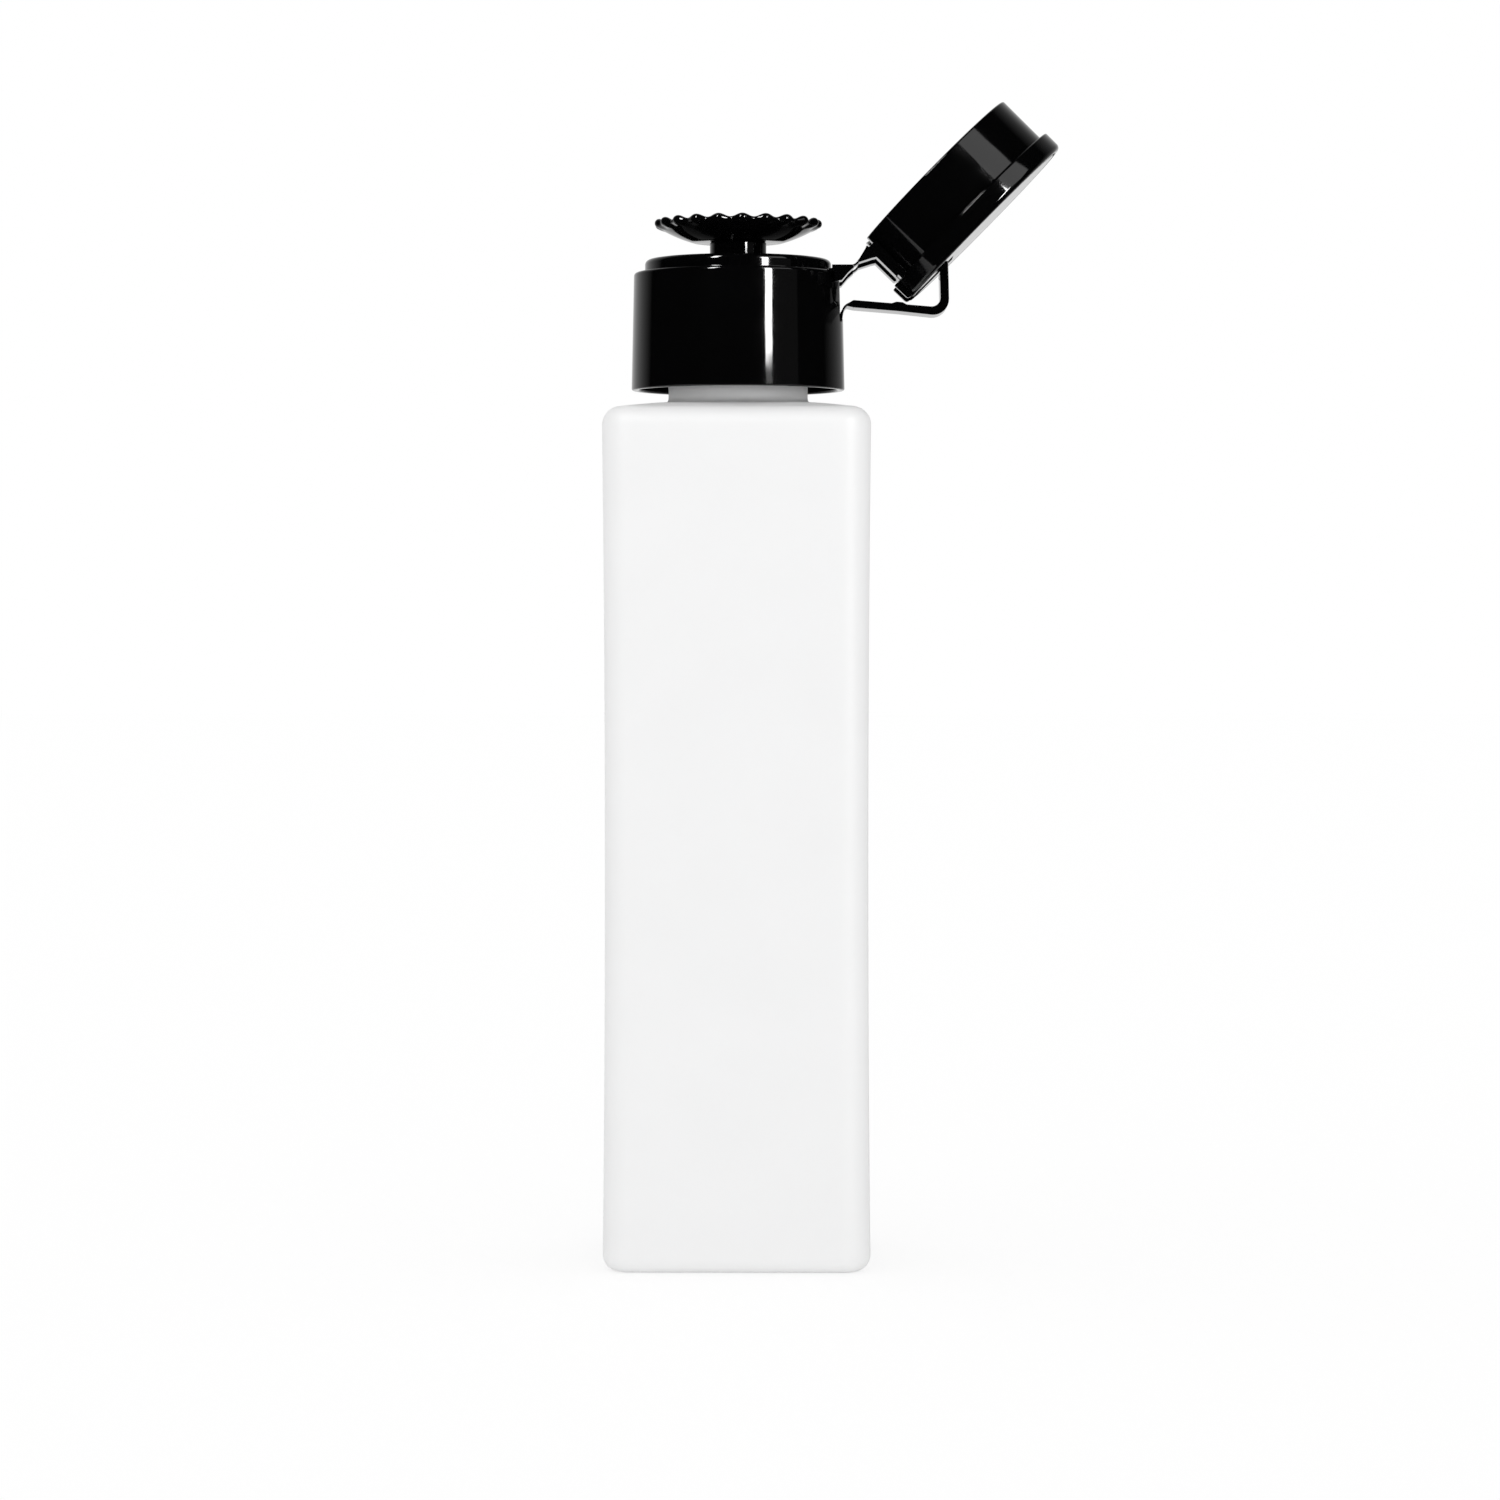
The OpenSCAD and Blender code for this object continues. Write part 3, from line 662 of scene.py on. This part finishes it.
def closure_shape(closure, bottle, dish):
    """Outer skirt, step, raised ring, sunk deck, threaded inner skirt, lugs and notch."""
    at = closure_levels(closure)
    wall = closure.wall
    deck_z = at.deck_top - closure.deck_t
    bore_r = dish.sleeve_r + 0.1
    crest_r = bottle.neck_r + 0.3      # crest of the thread, clear of the neck
    inner_r = crest_r + bottle.thread_h
    inner_foot = CLOSURE_FOOT + 2.2
    seal_z = NECK_TOP - 0.9
    bm = turned(outline([
        (bore_r, deck_z), (crest_r, deck_z, 0.15), (crest_r, seal_z, 0.15), (inner_r, seal_z),
        (inner_r, inner_foot, 0.4), (inner_r + wall, inner_foot, 0.4),
        (inner_r + wall, at.step_z - wall, 0.3), (at.skirt_top - wall, at.step_z - wall, 0.6),
        (SKIRT_R - wall, CLOSURE_FOOT, 0.35), (SKIRT_R, CLOSURE_FOOT, 0.3), (at.skirt_top, at.step_z, 0.5),
        (at.ring_r, at.step_z, 0.2), (at.ring_r, at.ring_top, 0.8), (at.ring_r - wall, at.ring_top, 0.35),
        (at.ring_r - wall, at.deck_top, 0.4), (bore_r, at.deck_top, 0.3)]))
    half = closure.notch_w / 2
    notch = block((at.ring_r + 0.5, -half, closure.notch_z), (SKIRT_R + 3, half, at.step_z + 1))
    steps = [("UNION", lug) for lug in closure_lugs(closure, at)]
    steps += [("DIFFERENCE", notch), ("UNION", clip_root(closure, at))]
    bm = carved(bm, steps)

    in_skirt, turns = inner_r + 0.1, 1.6
    section = [(in_skirt, -0.75), (crest_r, -0.25), (crest_r, 0.25), (in_skirt, 0.75)]
    thread_z = inner_foot + 4.8      # halfway between the turns of the bottle's thread
    return add_to(bm, thread(section, turns, thread_z, bottle.thread_lead))


def closure_lugs(closure, at):
    """The two brackets that carry the lid's fold. Above the step they stand clear of the lid's wall."""
    top = LID_FOLD.z - closure.lug_drop
    tip = LID_FOLD.x - 0.25
    in_ring, by_ring, in_skirt = at.ring_r - 0.6, at.ring_r + 0.1, at.skirt_top - 1.3
    under_step, over_step = at.step_z - 0.4, at.step_z + 0.2
    side_view = outline([
        (in_ring, under_step), (in_ring, over_step), (by_ring, over_step), (by_ring, top), (tip, top, 0.15),
        (tip, top - 0.45, 0.15), (tip - 0.9, top - 1.25, 0.5), (at.skirt_top - 0.1, at.step_z - 1.7),
        (in_skirt, at.step_z - 1.9), (in_skirt, under_step)], 3)
    return [prism(side_view, closure.lug_w, side * closure.lug_y, edge=0.1) for side in (-1, 1)]


def clip_root(closure, at):
    """The thin plate at the notch's foot that the clip's film grows from."""
    foot, wall, fold = closure.notch_z, at.skirt_top, CLIP_FOLD
    side_view = outline([
        (wall - 0.6, foot - 0.5), (wall - 0.02, foot - 0.5), (wall + 0.12, foot + 0.8),
        (fold.x - 0.1, fold.z - 0.75, 0.1), (fold.x - 0.4, fold.z - 0.65, 0.1), (wall - 0.3, foot + 0.9)], 3)
    return prism(side_view, closure.notch_w - 0.8, edge=0.06)


def lid_film(closure):
    """The two films between the closure's lugs and the lid's lugs."""
    x, low = LID_FOLD.x, LID_FOLD.z - closure.lug_drop
    strip = bent((x - 0.4, low - 0.15), (x - 0.02, low - 0.02), (x + 0.4, low + 0.4), closure.film)
    bm = prism(strip, closure.lug_w - 0.1, -closure.lug_y, edge=0.05)
    return add_to(bm, prism(strip, closure.lug_w - 0.1, closure.lug_y, edge=0.05))


def clip_film(closure):
    """The film between the closure's notch and the clip."""
    x, z = CLIP_FOLD.x, CLIP_FOLD.z
    strip = bent((x - 0.36, z - 1.05), (x - 0.12, z - 0.05), (x + 0.6, z + 0.12), closure.film)
    return prism(strip, closure.notch_w - 1.0, edge=0.05)


# Lid

def lid_shape(lid, closure, clip):
    """The lid, drawn shut with its channel and recess, then turned open about its fold."""
    at = closure_levels(closure)
    bore_r = at.ring_r + lid.gap
    lid_r = bore_r + lid.wall
    flange_r = lid_r + lid.flange_out
    inside_z = RIM_TOP + lid.head
    lid_top = inside_z + lid.top_t
    flange_z = lid_top - lid.flange_h
    mouth_z = at.step_z + lid.mouth_gap
    groove_out, groove_z = flange_r - 1.2, lid_top - 0.25
    groove_in = groove_out - 0.5
    bm = turned(outline([
        (0, inside_z), (bore_r, inside_z, 0.8), (bore_r, mouth_z, 0.2), (lid_r, mouth_z, 0.3),
        (lid_r, flange_z, 0.15), (flange_r, flange_z, 0.25), (flange_r, lid_top, 0.8),
        (groove_out, lid_top, 0.08), (groove_out, groove_z), (groove_in, groove_z),
        (groove_in, lid_top, 0.08), (0, lid_top)]))

    # the channel that the shut clip lies in, the recess that its hook drops into, and the walls behind them
    half = closure.notch_w / 2
    locked_x = CLIP_FOLD.x - clip.offset
    channel_x = locked_x - clip.thickness / 2 - 0.3
    recess_z = lid_top - lid.recess_depth
    recess_x = locked_x - clip.hook_l - 1
    back_t, floor_t, head = 1.2, 0.9, 1.1
    in_wall, in_top = bore_r + 0.15, inside_z + 0.2
    past_x, past_z, below_z, overlap = flange_r + 3, lid_top + 2, at.step_z - 1, 0.01
    behind_channel = block((channel_x - back_t, -half - back_t, RING_TOP + 0.4),
                           (in_wall, half + back_t, in_top))
    under_recess = block((recess_x - floor_t, -half - floor_t, recess_z - floor_t),
                         (in_wall, half + floor_t, in_top))
    channel = block((channel_x, -half, below_z), (past_x, half, past_z))
    recess = block((recess_x, -half, recess_z), (past_x, half, past_z))
    slope = prism([(channel_x - head, recess_z + overlap), (channel_x + overlap, recess_z + overlap),
                   (channel_x + overlap, recess_z - head)], 2 * half)

    # the room over the closure's lugs, and the lid's own lugs, ribs and rails beside the channel
    lug_z = LID_FOLD.z + 0.15
    rib_w = closure.lug_w + 0.25
    rib_y = half + rib_w / 2
    over_lugs = block((at.ring_r - 0.05, -rib_y - rib_w, below_z), (LID_FOLD.x + 4, rib_y + rib_w, lug_z))
    steps = [("UNION", behind_channel), ("UNION", under_recess), ("DIFFERENCE", channel),
             ("DIFFERENCE", recess), ("DIFFERENCE", slope), ("DIFFERENCE", over_lugs)]
    fold = LID_FOLD
    lug_view = outline([
        (lid_r - 1.3, lug_z), (lid_r - 0.25, lug_z), (lid_r - 0.2, lug_z - 0.4, 0.06),
        (lid_r + 0.05, lug_z - 0.4, 0.06), (lid_r + 0.15, lug_z), (fold.x + 0.1, fold.z + 0.4),
        (fold.x + 0.35, fold.z + 0.5, 0.08), (fold.x - 0.05, fold.z + 0.75, 0.1),
        (lid_r + 0.6, fold.z + 1.75, 0.2), (lid_r - 0.1, fold.z + 2.2), (lid_r - 1.3, fold.z + 2.2)], 3)
    rib_in, rib_low, rib_top = in_wall - 1, lug_z + 0.1, flange_z - 0.65
    rib_view = outline([
        (rib_in, rib_low), (lid_r + 0.05, rib_low), (lid_r, rib_top, 0.3), (lid_r - 0.4, rib_top),
        (lid_r - 0.4, flange_z + 0.2), (rib_in, flange_z + 0.2)], 3)
    rail_in, rail_top, rail_w = lid_r - 0.8, lid_top - 0.25, 1.5
    rail_view = outline([
        (rail_in, flange_z), (flange_r - 0.13, flange_z, 0.2), (flange_r - 0.2, rail_top, 0.5),
        (rail_in, rail_top)], 3)
    for side in (-1, 1):
        steps += [("UNION", prism(rib_view, rib_w, side * rib_y, edge=0.1)),
                  ("UNION", prism(rail_view, rail_w, side * (half + rail_w / 2), edge=0.1)),
                  ("UNION", prism(lug_view, closure.lug_w, side * closure.lug_y, edge=0.1))]
    bm = carved(bm, steps)
    bmesh.ops.rotate(bm, cent=LID_FOLD, matrix=Matrix.Rotation(LID_OPEN, 3, "Y"), verts=bm.verts)
    return bm


# Lock clip

def clip_shape(clip):
    """An L of flat strap, drawn level from its fold and then let down to its rest."""
    low, top = clip.offset - clip.thickness / 2, clip.offset + clip.thickness / 2
    fall = math.radians(4.8)      # the strap rests this far below level
    tip_z = clip.offset + clip.hook_l
    reach = (corners("lock_clip")[1].x - CLIP_FOLD.x - math.sin(fall) * tip_z) / math.cos(fall) + 0.3
    tip = reach - clip.lean
    root = 0.22
    pip_u, pip_l, pip_slant = 8.6, 2.4, 0.7
    pip_start, pip_end, pip_top = pip_u - pip_l / 2, pip_u + pip_l / 2, top + clip.pip_h
    side_view = outline([
        (root, -0.12), (1.4, low, 0.3), (pip_u, low), (reach, low - 0.2, clip.bend_r), (tip, tip_z, 0.25),
        (tip - 0.85, tip_z - 1.5, 0.3), (tip - 1.1, tip_z - 2.6, 0.4), (reach - 1.5, top, clip.bend_r - 1.1),
        (pip_end, top), (pip_end - pip_slant, pip_top), (pip_start + pip_slant, pip_top), (pip_start, top),
        (1.3, top, 0.3), (0.75, top - 0.4, 0.2), (root, 0.2)], 8)
    bm = prism(side_view, clip.width, edge=0.08)
    bmesh.ops.rotate(bm, cent=(0, 0, 0), matrix=Matrix.Rotation(fall, 3, "Y"), verts=bm.verts)
    bmesh.ops.translate(bm, vec=CLIP_FOLD, verts=bm.verts)
    return bm


# Dish

def dish_shape(dish):
    """A shallow bowl whose rounded edge waves into scallops, on a hollow sleeve."""
    rim_top = RIM_TOP - dish.drop
    dish_z = rim_top - dish.height
    floor_z = dish_z + dish.thickness
    half = dish.thickness / 2
    start = Vector((dish.flat_r, dish_z + half))
    rim = Vector((dish.edge_r, rim_top - dish.rim_r - 0.1))
    chord = rim - start
    across = Vector((-chord.y, chord.x)).normalized()
    centre = (start + rim) / 2 + across * math.sqrt(dish.bowl_r ** 2 - chord.length_squared / 4)
    first_slope, slope = (math.atan2(p.x - centre.x, centre.y - p.y) for p in (start, rim))
    low, high = math.degrees(first_slope) - 90, math.degrees(slope) - 90
    sleeve_t, boss_t, boss_z = 0.8, 0.8, dish_z - 5
    sleeve_in = dish.sleeve_r - sleeve_t
    boss_r = dish.stem_r + boss_t
    section = arc(*centre, dish.bowl_r + half, low, high - 1.5, 16)
    section += arc(*rim, dish.rim_r, high, high + 180, 14)
    section += arc(*centre, dish.bowl_r - half, high - 1.5, low, 16)
    section += outline([
        (dish.stem_r, floor_z, 0.1), (dish.stem_r, boss_z), (boss_r, boss_z), (boss_r, dish_z),
        (sleeve_in, dish_z), (sleeve_in, SLEEVE_FOOT), (dish.sleeve_r, SLEEVE_FOOT, 0.15),
        (dish.sleeve_r, dish_z, 0.35)], 4)
    bm = turned(section, steps=dish.scallops * 14)

    # wave of the rim: each crest stands out along the bowl and is thicker
    outward = Vector((math.cos(slope), math.sin(slope)))
    first = math.radians(-90 + 3.9)      # a crest stands just right of the middle of the front
    fade_from, fade_to, swell = 2.6, 0.3, 0.3      # two distances from the rim; a crest's added thickness
    for vert in bm.verts:
        spot = Vector((vert.co.xy.length, vert.co.z))
        reach = (spot - rim).dot(outward)
        share = max(0.0, min(1.0, (reach + fade_from) / (fade_from - fade_to)))
        if spot.x < dish.flat_r + 1 or not share:
            continue
        angle = math.atan2(vert.co.y, vert.co.x)
        crest = math.cos(dish.scallops * (angle - first)) * share * share * (3 - 2 * share)
        near = max(0.0, 1 - (spot - rim).length / (2.5 * dish.rim_r))
        spot += outward * dish.wave * crest + (spot - rim) * swell * crest * min(1, 2 * near)
        vert.co = (spot.x * math.cos(angle), spot.x * math.sin(angle), spot.y)
    return bm


def insert_shape(dish):
    """The perforated plug over the outlet ball."""
    low, high = corners("outlet_insert")
    base_z = RIM_TOP - dish.drop - dish.height + dish.thickness + 0.02
    ceiling_z = corners("outlet_ball")[1].z + JOINTS["outlet_valve"]["range_m"][1] / MM + 0.02
    cap_r, plug_r, pocket_r = high.x, dish.stem_r - 0.02, 1.65
    hole_r, hole_at, holes_n = 0.35, 0.95, 4
    bm = turned(outline([
        (0, ceiling_z), (pocket_r, ceiling_z), (pocket_r, low.z), (plug_r, low.z, 0.1), (plug_r, base_z),
        (cap_r, base_z, 0.08), (cap_r, base_z + 0.4, 0.15), (cap_r - 1.2, high.z - 0.1, 0.3),
        (cap_r - 2, high.z, 0.3), (0, high.z)]), steps=96)
    holes = []
    for k in range(holes_n):
        angle = TURN * k / holes_n
        drill = bmesh.new()
        spot = Matrix.Translation((hole_at * math.cos(angle), hole_at * math.sin(angle), high.z))
        bmesh.ops.create_cone(drill, cap_ends=True, segments=24, radius1=hole_r, radius2=hole_r, depth=4,
                              matrix=spot)
        holes.append(("DIFFERENCE", drill))
    return carved(bm, holes)


def spring_shape(pump):
    """A coil of round wire whose two end turns lie closed."""
    low, high = corners("return_spring")
    wire_r = pump.wire_d / 2
    mean_r = high.x - wire_r
    free = high.z - low.z - 2 * wire_r
    pitch = (free - 2 * pump.wire_d) / (pump.coils - 2)

    def rise(t):
        if t < 1:
            lift = pump.wire_d * t
        elif t > pump.coils - 1:
            lift = free - pump.wire_d * (pump.coils - t)
        else:
            lift = pump.wire_d + pitch * (t - 1)
        return low.z + wire_r + lift

    wire = arc(mean_r, 0, wire_r, 0, 360, 12)[:-1]
    return wound(wire, pump.coils, rise, steps=36)


# Operators

class PUMPBOTTLE_OT_bottle(bpy.types.Operator):
    """Adds the blow-moulded bottle."""
    bl_idname = "pump_bottle.bottle"
    bl_label = "Bottle"

    def execute(self, context):
        settings = context.scene.pump_bottle
        shell = piece("bottle_shell", bottle_shape(millimetres(settings.bottle)),
                      white_hdpe(settings.colours), sharp=40, even=False)
        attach(shell, "bottle")
        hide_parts("bottle")
        return {"FINISHED"}


class PUMPBOTTLE_OT_black_parts(bpy.types.Operator):
    """Adds the closure, the lid, the lock clip, their folds and the dish, all in polished black."""
    bl_idname = "pump_bottle.black_parts"
    bl_label = "Closure, lid, clip and dish"

    def execute(self, context):
        settings = context.scene.pump_bottle
        closure, bottle = millimetres(settings.closure), millimetres(settings.bottle)
        lid, clip, dish = (millimetres(group) for group in (settings.lid, settings.clip, settings.dish))
        black = black_pp(settings.colours)
        made = [("screw_closure", closure_shape(closure, bottle, dish), "closure", "closure"),
                ("flip_lid", lid_shape(lid, closure, clip), "lid", "lid"),
                ("clip_strap", clip_shape(clip), "clip", "lock_clip"),
                ("scalloped_dish", dish_shape(dish), "dish", "dish"),
                ("outlet_cap", insert_shape(dish), "dish", "outlet_insert")]
        for name, shape, body, node in made:
            part = piece(name, shape, black)
            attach(part, body)
            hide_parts(node)
        lid_fold = piece("lid_fold", lid_film(closure), black, even=False)
        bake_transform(lid_fold)
        clip_fold = piece("clip_fold", clip_film(closure), black, even=False)
        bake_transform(clip_fold)
        return {"FINISHED"}


class PUMPBOTTLE_OT_pump(bpy.types.Operator):
    """Adds the pump under the dish, with its gasket, tube, spring and balls."""
    bl_idname = "pump_bottle.pump"
    bl_label = "Pump"

    def execute(self, context):
        settings = context.scene.pump_bottle
        look = settings.colours
        natural, balls = (natural_pp(look), "natural_pp"), (ball_steel(look), "ball_steel")
        soft = soft_pe(look)
        made = [("gasket_ring", "neck_gasket", "pump", (foam_pe(look), "foam_pe")),
                ("housing_cup", "pump_housing", "pump", natural),
                ("guide_cup", "stem_guide", "pump", natural),
                ("cage_ring", "ball_cage", "pump", natural),
                ("suction_tube", "dip_tube", "pump", (soft, "tube_pe")),
                ("hollow_stem", "piston_stem", "dish", natural),
                ("lip_seal", "piston_seal", "dish", (soft, "seal_pe")),
                ("lower_ball", "inlet_ball", "inlet_ball", balls),
                ("upper_ball", "outlet_ball", "outlet_ball", balls)]
        for name, node, body, (material, slot) in made:
            part = piece(name, merged(node), material)
            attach(part, body)
            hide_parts(node)
        spring = piece("spring_wire", spring_shape(millimetres(settings.pump)), drawn_steel(look),
                       sharp=60, even=False)
        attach(spring, "pump")
        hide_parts("return_spring")
        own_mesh(spring)
        return {"FINISHED"}


# Stage: camera, floor, background and lamps

VIEW_TURN = math.radians(0.7)      # the camera stands this far towards the hinge
CAMERA_AT = Vector((0.0019, -0.704, 0.1026))      # before that turn
CAMERA_TILT = math.radians(88.26)
SENSOR, LENS = 36, 105.6      # in millimetres
LAMPS_AIM = Vector((0, 0, 0.15))      # the middle of the closure

# Name, azimuth, elevation, width and height in degrees, and radiance of each lamp
LAMPS = (("Strip", 33.5, 16.5, 7.5, 22, 45),
         ("High strip", -30.5, 34, 7.5, 34, 30),
         ("Right softbox", 48, 32, 30, 26, 1.5),
         ("Low softbox", 54, 2, 28, 22, 0.075))


def softbox(name, azimuth, elevation, width, height, radiance):
    """A lamp that only gloss shows. Azimuth 0 is the viewer's side, 90 is +X; its size is in degrees."""
    distance = 1.0
    data = bpy.data.lights.new(name, "AREA")
    data.shape = "RECTANGLE"
    data.size, data.size_y = (2 * distance * math.tan(math.radians(side / 2)) for side in (width, height))
    data.energy = radiance * math.pi * data.size * data.size_y
    lamp = placed(name, data)
    a, e = math.radians(azimuth) + VIEW_TURN, math.radians(elevation)
    back = Vector((math.sin(a) * math.cos(e), -math.cos(a) * math.cos(e), math.sin(e)))
    lamp.location = LAMPS_AIM + back * distance
    lamp.rotation_euler = (-back).to_track_quat("-Z", "Y").to_euler()
    lamp.visible_camera = False
    lamp.visible_diffuse = False


def studio_world():
    """White to the eye. Matt surfaces get an even light, more of it from the front; gloss shows the back."""
    world = bpy.data.worlds.new("Studio")
    bpy.context.scene.world = world
    tree = emptied(world)
    ray = add_node(tree, "LightPath").outputs
    place = add_node(tree, "TexCoord").outputs["Generated"]
    side = add_node(tree, "SeparateXYZ", {0: place}).outputs

    # gloss: dark in front, brighter towards the back, dimmer on the right
    back = ramp(tree, side["Y"], 0.32, 1.0, 0.0, 0.8)
    right = ramp(tree, side["X"], 0.1, 0.5, 1.0, 0.45)
    gloss = add_node(tree, "Math", {0: back, 1: right}, operation="MULTIPLY")

    # matt: a dome that is brighter overhead, and a band low in front
    dome = ramp(tree, side["Z"], 0.2, 0.6, 0.64, 1.0)
    front = ramp(tree, side["Y"], -1.0, -0.2, 2.1, 0.0, "SMOOTHSTEP")
    band = ramp(tree, side["Z"], 0.0, 0.25, 1.0, 0.0, "SMOOTHSTEP")
    matt = add_node(tree, "Math", {0: front, 1: band, 2: dome}, operation="MULTIPLY_ADD")
    light = add_node(tree, "Mix", {"Factor": ray["Is Glossy Ray"], "A": matt.outputs[0],
                                   "B": gloss.outputs[0]})
    clear = add_node(tree, "Math", {0: ray["Is Camera Ray"], 1: ray["Is Transmission Ray"]},
                     operation="MAXIMUM")
    strength = add_node(tree, "Mix", {"Factor": clear.outputs[0], "A": light.outputs[0], "B": 1.0})
    shown = add_node(tree, "Background", {"Color": (1, 1, 1, 1), "Strength": strength.outputs[0]})
    add_node(tree, "OutputWorld", {"Surface": shown.outputs[0]})


def floor_material():
    """White paper: part diffuse, which keeps the object's shadow, and part glow, more of it to the eye."""
    made, tree = new_material("White paper")
    glow, unseen_share, seen_share = 1.14, 0.3, 0.5
    seen = add_node(tree, "LightPath").outputs["Is Camera Ray"]
    share = add_node(tree, "Math", {0: seen, 1: seen_share - unseen_share, 2: unseen_share},
                     operation="MULTIPLY_ADD")
    paper = add_node(tree, "BsdfDiffuse", {"Color": (0.9, 0.9, 0.9, 1)})
    white = add_node(tree, "Emission", {"Color": (1, 1, 1, 1), "Strength": glow})
    both = add_node(tree, "MixShader", {0: share.outputs[0], 1: paper.outputs[0], 2: white.outputs[0]})
    add_node(tree, "OutputMaterial", {"Surface": both.outputs[0]})
    return made


class PUMPBOTTLE_OT_stage(bpy.types.Operator):
    """Adds the floor, the background, the lamps and the camera."""
    bl_idname = "pump_bottle.stage"
    bl_label = "Stage"

    def execute(self, context):
        scene = context.scene
        scene.view_settings.view_transform = "Standard"

        bm = bmesh.new()
        bmesh.ops.create_circle(bm, cap_ends=True, segments=96, radius=4.0)
        ground = placed("floor", mesh_of(bm, "floor"))
        ground.data.materials.append(floor_material())
        ground.visible_glossy = False

        studio_world()
        for lamp in LAMPS:
            softbox(*lamp)

        data = bpy.data.cameras.new("Camera")
        data.sensor_width = SENSOR
        data.lens = LENS
        camera = placed("Camera", data)
        camera.location = Matrix.Rotation(VIEW_TURN, 3, "Z") @ CAMERA_AT
        camera.rotation_euler = (CAMERA_TILT, 0, VIEW_TURN)
        scene.camera = camera
        return {"FINISHED"}


class PUMPBOTTLE_PT_panel(bpy.types.Panel):
    """Lists the bottle's operators and sizes."""
    bl_label = "Pump Bottle"
    bl_space_type = "VIEW_3D"
    bl_region_type = "UI"
    bl_category = "Pump Bottle"

    def draw(self, context):
        for operator in OPERATORS:
            self.layout.operator(operator.bl_idname)
        settings = context.scene.pump_bottle
        for name in PumpBottleSettings.__annotations__:
            box = self.layout.box()
            box.label(text=name.capitalize())
            group = getattr(settings, name)
            for size in group.__annotations__:
                box.prop(group, size)


GROUPS = (BottleSizes, ClosureSizes, LidSizes, ClipSizes, DishSizes, PumpSizes, Colours, PumpBottleSettings)
OPERATORS = (PUMPBOTTLE_OT_bottle, PUMPBOTTLE_OT_black_parts, PUMPBOTTLE_OT_pump, PUMPBOTTLE_OT_stage)
CLASSES = GROUPS + OPERATORS + (PUMPBOTTLE_PT_panel,)


def register():
    for item in CLASSES:
        bpy.utils.register_class(item)
    bpy.types.Scene.pump_bottle = PointerProperty(type=PumpBottleSettings)


def unregister():
    del bpy.types.Scene.pump_bottle
    for item in reversed(CLASSES):
        bpy.utils.unregister_class(item)


def main():
    """Builds every piece and the stage."""
    register()
    bpy.ops.pump_bottle.bottle()
    bpy.ops.pump_bottle.black_parts()
    bpy.ops.pump_bottle.pump()
    bpy.ops.pump_bottle.stage()


if __name__ == "__main__":
    main()
